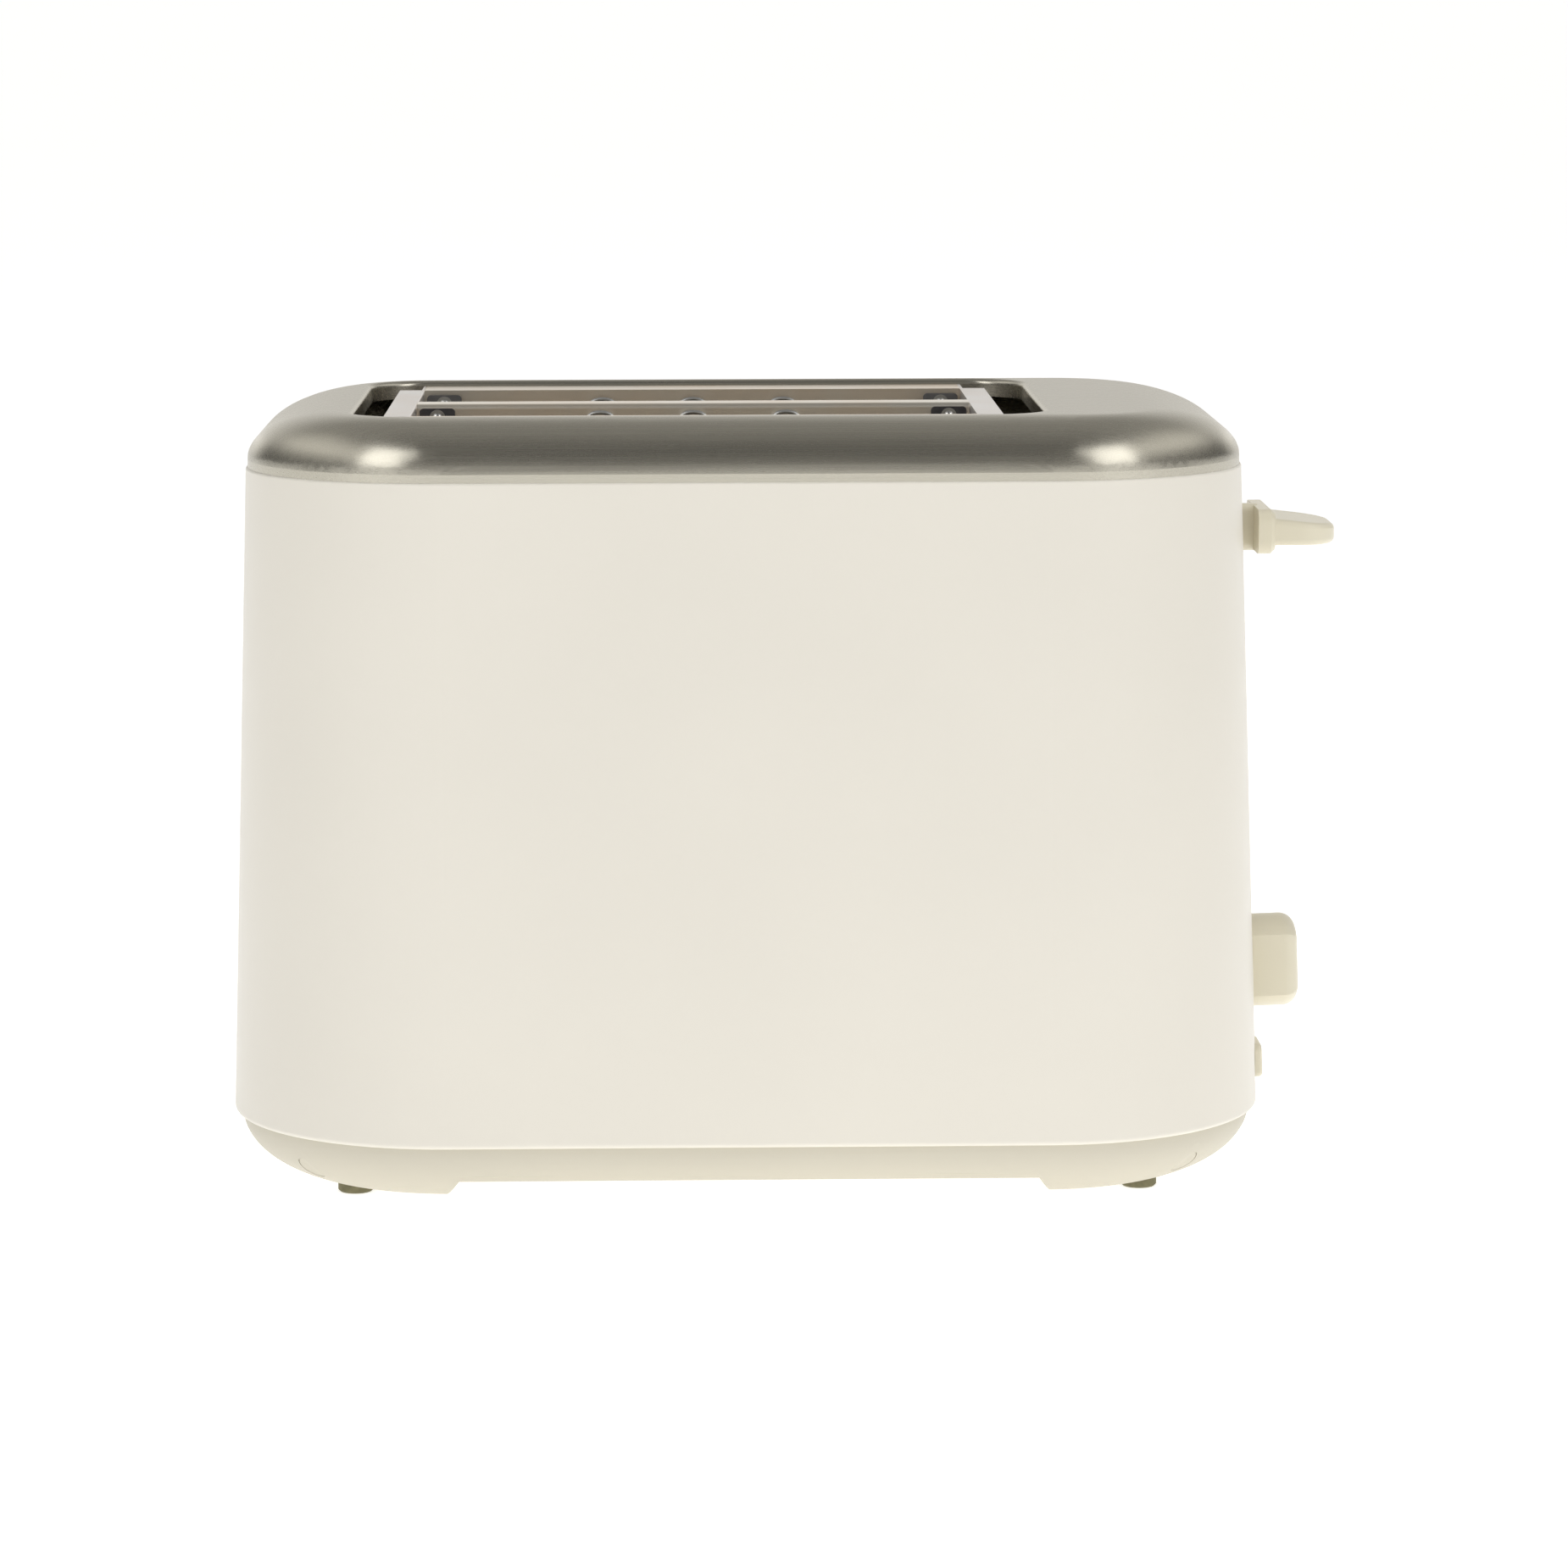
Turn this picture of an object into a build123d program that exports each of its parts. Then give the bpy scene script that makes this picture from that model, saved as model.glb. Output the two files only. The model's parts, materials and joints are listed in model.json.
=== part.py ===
from build123d import *
import os
from math import atan, cos, degrees, radians, sin

# A two-slice pop-up toaster, in millimetres, with +Z up. It stands on the plane z = 0, and the origin is
# under the middle of the overall box, lever included. X runs along the slots, towards the lever.

# Casing
body_length = 260.0
body_depth = 158.0
corner_radius = 56.0
seam_low = 18.0
seam_high = 181.0
draft = 5.5
wall = 2.6
ledge_width = 8.0
edge_round = 0.6

# Steel top cover
sheet = 0.8
rim_reveal = 0.5
dome_skirt = 2.0
dome_rise = 12.8
dome_run_ends = 26.0
dome_run_sides = 16.0
opening_inset = 1.4
opening_corner = 14.0
opening_lip = 4.6
opening_roll = 1.3

# Base bowl, feet and table clearance
base_inset = 2.0
base_wall = 2.4
base_run = 29.0
pad_height = 1.2
arch_height = 7.3
arch_length = 143.0
arch_slope = 5.0
foot_radius = 4.5
foot_stem_radius = 2.5
foot_stem_length = 5.0
foot_inset_ends = 31.5
foot_inset_sides = 35.5

# Slots and chassis
slot_length = 140.0
slot_width = 35.0
divider_width = 10.0
end_gap = 14.0
end_gap_lever = 16.5
strip_width = 6.5
chassis_foot_z = 21.0
cover_gap = 0.6
strip_drop = 0.5
divider_leg = 8.0
card_thickness = 0.6
card_margin = 4.0
ribbon_turns = 14
ribbon_width = 1.4
ribbon_thickness = 0.3
guard_wire = 1.6
guard_bars = 11
guard_low = 62.0
wire_fit = 0.05

# Carriage
travel = 60.0
lever_z = 162.0
rack_top = 105.0
rack_height = 8.0
rack_sheet = 1.2
rack_wire = 2.2
rack_bars = 8
rack_gap = 7.5
rod_radius = 2.5
rod_from_chassis = 26.0
rod_fit = 0.05
bush_radius = 5.0
bush_flange_radius = 7.0
bush_flange = 1.5
bracket_sheet = 1.2
bracket_from_chassis = 14.0
tab_low = 150.0
tab_high = 172.0
tab_width = 16.0
arm_height = 10.0
arm_thickness = 1.6
spring_wire = 0.5
spring_radius = 4.6
spring_turns = 15
slot_clearance = 0.9
moving_gap = 0.3

# Lever knob
neck_width = 5.4
neck_height = 12.0
collar_width = 30.0
collar_height = 11.4
collar_thickness = 4.3
knob_gap = 5.2
handle_reach = 15.9
handle_thickness = 7.0
handle_tip = 5.0
handle_corner = 9.0

# Dial and buttons on the lever end
dial_z = 49.2
dial_radius = 12.0
dial_skirt_radius = 13.5
dial_skirt = 1.3
dial_reach = 13.7
dial_flats = 18.0
dial_edge = 4.0
shaft_radius = 3.0
board_depth = 22.0
board_thickness = 1.6
board_half_width = 28.0
board_low = -24.0
board_high = 38.0
button_drop = 21.7
button_pitch = 18.0
button_width = 13.0
button_height = 8.6
button_proud = 2.0
button_travel = 1.5
button_fit = 0.3

# Crumb tray
tray_height = 7.0
tray_sheet = 0.8
tray_fit = 1.5
tray_grip_width = 90.0

# Screws and cord gland
screw_radius = 1.5
screw_head_radius = 2.8
screw_head = 2.0
boss_radius = 4.5
screw_depth = 12.0
gland_bore = 3.6
gland_neck = 10.0
gland_corner = 2.0
gland_catch = 3.0
gland_flange_radius = 7.5
gland_flange = 2.0

# Values that follow from the sizes above
lean_angle = degrees(atan(draft / (seam_high - seam_low)))
cover_length = body_length - 2 * (draft + rim_reveal)
cover_depth = body_depth - 2 * (draft + rim_reveal)
crown = seam_high + dome_skirt + dome_rise
opening_left = -(cover_length / 2 - dome_run_ends - opening_inset)
opening_half_depth = cover_depth / 2 - dome_run_sides - opening_inset
web_left = opening_left + end_gap
web_right = web_left + slot_length
opening_right = web_right + end_gap_lever
strip_top = crown - strip_drop - sheet
slot_inner = divider_width / 2
slot_outer = slot_inner + slot_width
chassis_half_depth = opening_half_depth - cover_gap
slot_middle = (slot_inner + slot_outer) / 2
rack_bar_length = slot_width - 2 * rack_gap
slot_centre_x = (web_left + web_right) / 2
rod_x = web_right + rod_from_chassis
bracket_x = web_right + bracket_from_chassis


def half_length(height):
    """Half the casing's outer length at a height."""
    return body_length / 2 - draft * (height - seam_low) / (seam_high - seam_low)


lever_wall = half_length(lever_z)
lever_tip = lever_wall + knob_gap + collar_thickness + handle_reach
middle_x = (body_length / 2 - lever_tip) / 2

# Datum planes through the middle of the casing
floor = Plane((middle_x, 0, 0))
end_view = Plane((middle_x, 0, 0), x_dir=(0, 1, 0), z_dir=(1, 0, 0))
front_view = Plane((middle_x, 0, 0), x_dir=(1, 0, 0), z_dir=(0, -1, 0))
tilt = radians(lean_angle)
control_face = Plane(
    (middle_x + half_length(dial_z), 0, dial_z), x_dir=(0, 1, 0), z_dir=(cos(tilt), 0, sin(tilt))
)
press_axis = Axis(control_face.origin, control_face.z_dir)

os.makedirs("parts", exist_ok=True)


def outline(height, inset=0.0):
    """The casing's rounded outline at a height, set in from its outer face."""
    drawn_in = draft * (height - seam_low) / (seam_high - seam_low) + inset
    RectangleRounded(body_length - 2 * drawn_in, body_depth - 2 * drawn_in, corner_radius - drawn_in)


def pillow(length, depth, corners, runs, level, rise, steps=7):
    """A rounded cap that closes in from its outline by an elliptical curve; a negative rise goes down."""
    run_ends, run_sides = runs
    corner, end_corner = corners
    with BuildPart() as cap:
        for step in range(steps + 1):
            turn = radians(90 * step / steps)
            closed = 1 - cos(turn)
            with BuildSketch(floor.offset(level + rise * sin(turn))):
                RectangleRounded(
                    length - 2 * run_ends * closed,
                    depth - 2 * run_sides * closed,
                    corner + (end_corner - corner) * closed,
                )
        loft()
    return cap.part


def block(x, y, z):
    """A box between two limits along each of X, Y and Z, in the casing's frame."""
    with BuildPart(mode=Mode.PRIVATE) as solid:
        with BuildSketch(floor.offset(min(z))):
            with Locations(((x[0] + x[1]) / 2, (y[0] + y[1]) / 2)):
                Rectangle(abs(x[1] - x[0]), abs(y[1] - y[0]))
        extrude(amount=abs(z[1] - z[0]))
    return solid.part


# Screw bosses stand in the casing's four corners, and the feet under them.
corner_x = body_length / 2 - corner_radius
corner_y = body_depth / 2 - corner_radius
boss_reach = (corner_radius - wall - boss_radius) * cos(radians(45))
boss_x = corner_x + boss_reach
boss_y = corner_y + boss_reach
boss_spots = [(-boss_x, -boss_y), (-boss_x, boss_y), (boss_x, -boss_y), (boss_x, boss_y)]
boss_split = seam_low + 4.0
boss_top = boss_split + screw_depth + 4.0
foot_x = body_length / 2 - foot_inset_ends
foot_y = body_depth / 2 - foot_inset_sides
foot_spots = {
    "front_left": (-foot_x, -foot_y),
    "front_right": (foot_x, -foot_y),
    "rear_left": (-foot_x, foot_y),
    "rear_right": (foot_x, foot_y),
}

# Crumb tray levels and width
tray_low = seam_low + 1.5
tray_top = tray_low + tray_height
tray_left = web_left + 2.0
tray_right = web_right - 2.0
tray_middle = (tray_left + tray_right) / 2
tray_width = tray_right - tray_left
rear_low = body_depth / 2

# Cord gland in the rear wall, square to it
gland_z = 36.0
gland_x = corner_x - 8.0
gland_y = rear_low - draft * (gland_z - seam_low) / (seam_high - seam_low)
rear_face = Plane(
    (middle_x + gland_x, gland_y, gland_z), x_dir=(-1, 0, 0), z_dir=(0, cos(tilt), sin(tilt))
)

# --- Housing ------------------------------------------------------------------------------------------
cover_screw_inset = wall + ledge_width / 2
cover_screw_spots = [
    (sx * (cover_length / 2 - corner_radius), sy * (cover_depth / 2 + rim_reveal - cover_screw_inset))
    for sx in (-1, 1)
    for sy in (-1, 1)
]
button_spots = {
    "cancel": (-button_pitch, -button_drop),
    "reheat": (0, -button_drop),
    "defrost": (button_pitch, -button_drop),
}

with BuildPart() as housing:
    for level in (seam_low, seam_high):
        with BuildSketch(floor.offset(level)):
            outline(level)
    loft(ruled=True)
    for level in (seam_low, seam_high - wall):
        with BuildSketch(floor.offset(level)):
            outline(level, wall)
    loft(ruled=True, mode=Mode.SUBTRACT)
    with BuildSketch(floor.offset(seam_high - wall)):
        outline(seam_high, wall + ledge_width)
    extrude(amount=wall, mode=Mode.SUBTRACT)
    fillet(housing.faces().sort_by(Axis.Z)[-1].outer_wire().edges(), edge_round)
    fillet(housing.faces().sort_by(Axis.Z)[0].outer_wire().edges(), 2 * edge_round)
    # Corner bosses for the base screws
    with BuildSketch(floor.offset(boss_split)):
        with Locations(*boss_spots):
            Circle(boss_radius)
    extrude(amount=boss_top - boss_split)
    with BuildSketch(floor.offset(boss_split)):
        with Locations(*boss_spots):
            Circle(screw_radius)
    extrude(amount=screw_depth + 1.0, mode=Mode.SUBTRACT)
    # Ledge holes for the cover screws
    with BuildSketch(floor.offset(seam_high - wall)):
        with Locations(*cover_screw_spots):
            Circle(screw_radius)
    extrude(amount=wall, mode=Mode.SUBTRACT)
    # Lever slot
    slot_width_y = neck_width + 2 * slot_clearance
    slot_height = travel + neck_height + 2 * slot_clearance
    with BuildSketch(end_view.offset(lever_wall - 2 * wall)):
        with Locations((0, lever_z - travel / 2)):
            RectangleRounded(slot_width_y, slot_height, slot_width_y / 2 - 0.1)
    extrude(amount=6 * wall, mode=Mode.SUBTRACT)
    # Dial shaft hole and button holes
    with BuildSketch(control_face.offset(-2 * wall)):
        Circle(shaft_radius + 1.0)
        with Locations(*button_spots.values()):
            RectangleRounded(button_width + 2 * button_fit, button_height + 2 * button_fit, 2.0)
    extrude(amount=3 * wall, mode=Mode.SUBTRACT)
    # Crumb tray mouth, open down to the base seam
    with BuildSketch(front_view.offset(-rear_low - 1.0)):
        with Locations((tray_middle, (seam_low + tray_top + tray_fit) / 2)):
            Rectangle(tray_width + 2 * tray_fit, tray_top + tray_fit - seam_low)
    extrude(amount=3 * wall, mode=Mode.SUBTRACT)
    # Square cord gland hole, so that the gland can't turn
    with BuildSketch(rear_face.offset(-2 * wall)):
        RectangleRounded(gland_neck, gland_neck, gland_corner)
    extrude(amount=3 * wall, mode=Mode.SUBTRACT)
housing.part.label = "housing"
export_step(housing.part, "parts/housing.step")

# --- Steel top cover ----------------------------------------------------------------------------------
cover_corner = corner_radius - draft - rim_reveal


def dome(inset, low):
    """The cover's filled form, set in by a sheet's thickness or none, from a level up."""
    with BuildPart() as form:
        with BuildSketch(floor.offset(low)):
            RectangleRounded(cover_length - 2 * inset, cover_depth - 2 * inset, cover_corner - inset)
        extrude(amount=seam_high + dome_skirt - low)
        add(
            pillow(
                cover_length - 2 * inset,
                cover_depth - 2 * inset,
                (cover_corner - inset, opening_corner + opening_inset),
                (dome_run_ends - inset, dome_run_sides - inset),
                seam_high + dome_skirt,
                dome_rise - inset,
            )
        )
    return form.part


opening_middle = ((opening_left + opening_right) / 2, 0)
opening_length = opening_right - opening_left
with BuildPart() as top_cover:
    add(dome(0, seam_high))
    add(dome(sheet, seam_high + sheet), mode=Mode.SUBTRACT)
    with BuildSketch(floor.offset(seam_high)):
        outline(seam_high, wall + ledge_width)
    extrude(amount=sheet, mode=Mode.SUBTRACT)
    # Lip turned down round the opening
    with BuildSketch(floor.offset(crown - opening_lip)):
        with Locations(opening_middle):
            RectangleRounded(
                opening_length + 2 * sheet, 2 * (opening_half_depth + sheet), opening_corner + sheet
            )
    extrude(amount=opening_lip)
    with BuildSketch(floor.offset(crown - opening_lip)):
        with Locations(opening_middle):
            RectangleRounded(opening_length, 2 * opening_half_depth, opening_corner)
    extrude(amount=opening_lip, mode=Mode.SUBTRACT)
    fillet(top_cover.faces().sort_by(Axis.Z)[-1].inner_wires()[0].edges(), opening_roll)
    with BuildSketch(floor.offset(seam_high)):
        with Locations(*cover_screw_spots):
            Circle(screw_radius)
    extrude(amount=sheet, mode=Mode.SUBTRACT)
top_cover.part.label = "top_cover"
export_step(top_cover.part, "parts/top_cover.step")

# --- Base bowl ----------------------------------------------------------------------------------------
base_length = body_length - 2 * base_inset
base_depth = body_depth - 2 * base_inset
base_corners = (corner_radius - base_inset, corner_radius - base_inset - base_run)
base_drop = seam_low - pad_height
base_floor = pad_height + arch_height + base_wall
post_top = chassis_foot_z
rod_socket_top = post_top
rod_foot_z = base_floor + 2.0
magnet_floor = base_floor + 4.0
magnet_y = 26.0
terminal_y = rear_low - 26.0
terminal_floor = base_floor + 5.2
terminal_x = (rod_x - 6, rod_x + 12)

with BuildPart() as base_envelope:
    add(pillow(base_length, base_depth, base_corners, (base_run, base_run), seam_low, -base_drop))
    with BuildSketch(floor.offset(seam_low)):
        outline(seam_low, wall + 1.0)
    extrude(amount=boss_top - seam_low)

inner_drop = seam_low - base_floor
chassis_post_spots = [(x, y) for x in (web_left - 7.0, web_right + 7.0) for y in (-44.0, 44.0)]
with BuildPart() as base:
    add(pillow(base_length, base_depth, base_corners, (base_run, base_run), seam_low, -base_drop))
    add(
        pillow(
            base_length - 2 * base_wall,
            base_depth - 2 * base_wall,
            (base_corners[0] - base_wall, base_corners[1] - base_wall),
            (base_run, base_run),
            seam_low,
            -inner_drop,
        ),
        mode=Mode.SUBTRACT,
    )
    # Posts for the base screws, chassis screws, guide rod and magnet
    with BuildSketch(floor.offset(pad_height)):
        with Locations(*boss_spots):
            Circle(boss_radius)
    extrude(amount=boss_split - pad_height)
    with BuildSketch(floor.offset(pad_height + arch_height)):
        with Locations(*chassis_post_spots):
            Circle(boss_radius)
        with Locations((rod_x, 0)):
            Circle(2 * rod_radius)
    extrude(amount=post_top - pad_height - arch_height)
    with BuildSketch(floor.offset(pad_height + arch_height)):
        with Locations((rod_x + 1.0, magnet_y)):
            Rectangle(30.0, 18.0)
    extrude(amount=magnet_floor - pad_height - arch_height)
    add(block(terminal_x, (terminal_y - 5, terminal_y + 5), (base_floor - 1, terminal_floor)))
    # Rails that the crumb tray slides on
    for side in (tray_left + 4.0, tray_right - 4.0):
        rail_y = rear_low - 20
        add(block((side - 1.5, side + 1.5), (-rail_y, rail_y), (base_floor - 1, tray_low - moving_gap)))
    add(base_envelope.part, mode=Mode.INTERSECT)
    # Arches between the pads, right through from front to rear
    with BuildSketch(front_view.offset(-body_depth / 2)):
        with BuildLine():
            Polyline(
                (-arch_length / 2 - arch_slope, 0),
                (-arch_length / 2, pad_height + arch_height),
                (arch_length / 2, pad_height + arch_height),
                (arch_length / 2 + arch_slope, 0),
                close=True,
            )
        make_face()
    extrude(amount=body_depth, mode=Mode.SUBTRACT)
    # Screw holes with deep counterbores, sockets for feet and guide rod
    with BuildSketch(floor):
        with Locations(*boss_spots):
            Circle(screw_head_radius + 0.4)
    extrude(amount=boss_split - 6.0, mode=Mode.SUBTRACT)
    with BuildSketch(floor):
        with Locations(*boss_spots):
            Circle(screw_radius + 0.2)
    extrude(amount=boss_split, mode=Mode.SUBTRACT)
    with BuildSketch(floor):
        with Locations(*foot_spots.values()):
            Circle(foot_stem_radius)
    extrude(amount=foot_stem_length + pad_height, mode=Mode.SUBTRACT)
    with BuildSketch(floor):
        with Locations(*foot_spots.values()):
            Circle(foot_radius)
    extrude(amount=pad_height + 2.0, mode=Mode.SUBTRACT)
    with BuildSketch(floor.offset(post_top - 9.0)):
        with Locations(*chassis_post_spots):
            Circle(screw_radius)
    extrude(amount=9.0, mode=Mode.SUBTRACT)
    with BuildSketch(floor.offset(rod_foot_z)):
        with Locations((rod_x, 0)):
            Circle(rod_radius)
    extrude(amount=rod_socket_top - rod_foot_z, mode=Mode.SUBTRACT)
base.part.label = "base"
export_step(base.part, "parts/base.step")

# --- Feet ---------------------------------------------------------------------------------------------
for corner, spot in foot_spots.items():
    with BuildPart() as foot:
        with BuildSketch(floor):
            with Locations(spot):
                Circle(foot_radius)
        extrude(amount=pad_height + 2.0)
        with BuildSketch(floor.offset(pad_height + 2.0)):
            with Locations(spot):
                Circle(foot_stem_radius)
        extrude(amount=foot_stem_length - 2.0)
        chamfer(foot.edges().sort_by(Axis.Z)[0], 0.5)
    foot.part.label = f"foot_{corner}"
    export_step(foot.part, f"parts/foot_{corner}.step")

# --- Base screws and cover screws ---------------------------------------------------------------------
with BuildPart() as base_screws:
    with BuildSketch(floor.offset(boss_split - 6.0)):
        with Locations(*boss_spots):
            Circle(screw_radius)
    extrude(amount=6.0 + screw_depth)
    with BuildSketch(floor.offset(boss_split - 6.0 - screw_head)):
        with Locations(*boss_spots):
            Circle(screw_head_radius)
    extrude(amount=screw_head)
base_screws.part.label = "base_screws"
export_step(base_screws.part, "parts/base_screws.step")

with BuildPart() as cover_screws:
    with BuildSketch(floor.offset(seam_high - wall - screw_head)):
        with Locations(*cover_screw_spots):
            Circle(screw_head_radius)
    extrude(amount=screw_head)
    with BuildSketch(floor.offset(seam_high - wall)):
        with Locations(*cover_screw_spots):
            Circle(screw_radius)
    extrude(amount=wall + sheet + 2.0)
cover_screws.part.label = "cover_screws"
export_step(cover_screws.part, "parts/cover_screws.step")

# --- Chassis end plates -------------------------------------------------------------------------------
guard_high = strip_top - 5.0
guard_ys = {
    "front_outer": -slot_outer + 6.0,
    "front_inner": -slot_inner - 2.4,
    "rear_inner": slot_inner + 2.4,
    "rear_outer": slot_outer - 6.0,
}
card_ys = {"front": -slot_outer + 2.0, "centre": 0.0, "rear": slot_outer - 2.0}
card_low = 44.0
card_high = strip_top - divider_leg - 4.0
card_tab = 8.0
rack_slot_low = rack_top - travel - rack_height - 2.0
rack_slot_high = rack_top + 3.0
rack_slot_width = rack_sheet + 2 * slot_clearance


def end_plate(web_x, out):
    """A chassis end plate. Its web's slot face is at web_x, and its flanges turn outwards, along out."""
    web = (web_x, web_x + out * sheet)
    deep = (-chassis_half_depth, chassis_half_depth)
    with BuildPart() as plate:
        add(block(web, deep, (chassis_foot_z, strip_top)))
        strip_y = slot_outer + 1
        add(block((web_x, web_x + out * strip_width), (-strip_y, strip_y), (strip_top - sheet, strip_top)))
        for side in (-1, 1):
            foot_flange = (side * 38.0, side * chassis_half_depth)
            add(block((web_x, web_x + out * 12.0), foot_flange, (chassis_foot_z, chassis_foot_z + sheet)))
        strip_edges = plate.edges().filter_by(Axis.Y).sort_by(Axis.Z)[-2:].sort_by(Axis.X)
        fillet(strip_edges[0 if out > 0 else -1], 0.5)
        with BuildSketch(end_view.offset(min(web) - 1)):
            for y in (-slot_middle, slot_middle):
                with Locations((y, (rack_slot_low + rack_slot_high) / 2)):
                    Rectangle(rack_slot_width, rack_slot_high - rack_slot_low)
            for y in card_ys.values():
                for z in (card_low + card_tab / 2, card_high - card_tab / 2):
                    with Locations((y, z)):
                        Rectangle(card_thickness, card_tab)
            for y in guard_ys.values():
                for z in (guard_low, guard_high):
                    with Locations((y, z)):
                        Circle(guard_wire / 2 + wire_fit)
        extrude(amount=sheet + 2, mode=Mode.SUBTRACT)
        with BuildSketch(floor.offset(chassis_foot_z)):
            for y in (-44.0, 44.0):
                with Locations((web_x + out * 7.0, y)):
                    Circle(screw_radius + 0.1)
        extrude(amount=sheet, mode=Mode.SUBTRACT)
    return plate


chassis_end_left = end_plate(web_left, -1)
chassis_end_left.part.label = "chassis_end_left"
export_step(chassis_end_left.part, "parts/chassis_end_left.step")

rod_top = strip_top - 7.0
rod_tab_z = rod_top - 3.0
with BuildPart() as chassis_end_right:
    add(end_plate(web_right, 1).part)
    add(block((web_right, rod_x + 8), (-10, 10), (rod_tab_z - sheet, rod_tab_z)))
    with BuildSketch(floor.offset(rod_tab_z - sheet)):
        with Locations((rod_x, 0)):
            Circle(rod_radius)
    extrude(amount=sheet, mode=Mode.SUBTRACT)
chassis_end_right.part.label = "chassis_end_right"
export_step(chassis_end_right.part, "parts/chassis_end_right.step")

with BuildPart() as chassis_screws:
    with BuildSketch(floor.offset(post_top - 8.0)):
        with Locations(*chassis_post_spots):
            Circle(screw_radius)
    extrude(amount=8.0 + sheet)
    with BuildSketch(floor.offset(chassis_foot_z + sheet)):
        with Locations(*chassis_post_spots):
            Circle(screw_head_radius)
    extrude(amount=screw_head)
chassis_screws.part.label = "chassis_screws"
export_step(chassis_screws.part, "parts/chassis_screws.step")

# --- Reflectors, divider cap --------------------------------------------------------------------------
slot_x = (web_left, web_right)
reflector_foot_z = tray_top + 6.0
for side, name in ((-1, "reflector_front"), (1, "reflector_rear")):
    with BuildPart() as reflector:
        add(block(slot_x, (side * slot_outer, side * (slot_outer + sheet)), (reflector_foot_z, strip_top)))
        add(block(slot_x, (side * slot_outer, side * chassis_half_depth), (strip_top - sheet, strip_top)))
        add(
            block(
                slot_x,
                (side * (slot_outer - 3.0), side * slot_outer),
                (reflector_foot_z, reflector_foot_z + sheet),
            )
        )
    reflector.part.label = name
    export_step(reflector.part, f"parts/{name}.step")

with BuildPart() as divider_cap:
    add(block(slot_x, (-slot_inner, slot_inner), (strip_top - divider_leg, strip_top)))
    cap_edges = divider_cap.edges().filter_by(Axis.X).group_by(Axis.Z)[-1]
    fillet(cap_edges, 1.2)
    channel = (-slot_inner + sheet, slot_inner - sheet)
    add(block(slot_x, channel, (strip_top - divider_leg, strip_top - sheet)), mode=Mode.SUBTRACT)
divider_cap.part.label = "divider_cap"
export_step(divider_cap.part, "parts/divider_cap.step")

# --- Heater cards and ribbons -------------------------------------------------------------------------
card_x = (web_left + card_margin, web_right - card_margin)
tab_x = (web_left - sheet - 1.2, web_right + sheet + 1.2)
for name, y in card_ys.items():
    half = card_thickness / 2
    with BuildPart() as card:
        add(block(card_x, (y - half, y + half), (card_low, card_high)))
        for low in (card_low, card_high - card_tab):
            add(block(tab_x, (y - half, y + half), (low, low + card_tab)))
    card.part.label = f"heater_card_{name}"
    export_step(card.part, f"parts/heater_card_{name}.step")

    first_turn = card_low + card_tab + 4.0
    last_turn = card_high - card_tab - 4.0
    outer = half + ribbon_thickness
    turn_pitch = (last_turn - first_turn) / (ribbon_turns - 1)
    turns = [first_turn + turn_pitch * turn for turn in range(ribbon_turns)]
    with BuildPart() as ribbon:
        for z in turns:
            wound = (card_x[0] - ribbon_thickness, card_x[1] + ribbon_thickness)
            add(block(wound, (y - outer, y + outer), (z - ribbon_width / 2, z + ribbon_width / 2)))
        for end, way in ((card_x[0], -1), (card_x[1], 1)):
            add(block((end, end + way * ribbon_thickness), (y - half, y + half), (turns[0], turns[-1])))
        add(block(card_x, (y - half, y + half), (card_low, card_high)), mode=Mode.SUBTRACT)
    ribbon.part.label = f"heating_ribbon_{name}"
    export_step(ribbon.part, f"parts/heating_ribbon_{name}.step")

# --- Wire bread guards --------------------------------------------------------------------------------
for name, y in guard_ys.items():
    bar_pitch = (slot_length - 14.0) / (guard_bars - 1)
    with BuildPart() as guard:
        with BuildSketch(end_view.offset(web_left - sheet - 1.0)):
            with Locations((y, guard_low), (y, guard_high)):
                Circle(guard_wire / 2)
        extrude(amount=slot_length + 2 * sheet + 2.0)
        with BuildSketch(floor.offset(guard_low)):
            with Locations((slot_centre_x, y)):
                with GridLocations(bar_pitch, 1, guard_bars, 1):
                    Circle(guard_wire * 0.4)
        extrude(amount=guard_high - guard_low)
    guard.part.label = f"bread_guard_{name}"
    export_step(guard.part, f"parts/bread_guard_{name}.step")

# --- Guide rod, stop buffer and return spring ---------------------------------------------------------
with BuildPart() as guide_rod:
    with BuildSketch(floor.offset(rod_foot_z)):
        with Locations((rod_x, 0)):
            Circle(rod_radius)
    extrude(amount=rod_top - rod_foot_z)
    chamfer(guide_rod.edges().sort_by(Axis.Z)[-1], 0.5)
guide_rod.part.label = "guide_rod"
export_step(guide_rod.part, "parts/guide_rod.step")

bush_low = tab_low - bush_flange
bush_top = tab_high + 1.5
with BuildPart() as stop_buffer:
    with BuildSketch(floor.offset(bush_top + moving_gap)):
        with Locations((rod_x, 0)):
            Circle(bush_radius)
            Circle(rod_radius, mode=Mode.SUBTRACT)
    extrude(amount=rod_tab_z - sheet - bush_top - moving_gap)
stop_buffer.part.label = "stop_buffer"
export_step(stop_buffer.part, "parts/stop_buffer.step")

spring_low = rod_socket_top + spring_wire
spring_high = bush_low - moving_gap - spring_wire
with BuildPart() as carriage_spring:
    with BuildLine(Plane((middle_x + rod_x, 0, spring_low))) as coil:
        Helix(
            pitch=(spring_high - spring_low) / spring_turns,
            height=spring_high - spring_low,
            radius=spring_radius,
        )
    with BuildSketch(Plane(origin=coil.line @ 0, z_dir=coil.line % 0)):
        Circle(spring_wire)
    sweep(is_frenet=True)
carriage_spring.part.label = "carriage_spring"
export_step(carriage_spring.part, "parts/carriage_spring.step")

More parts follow.
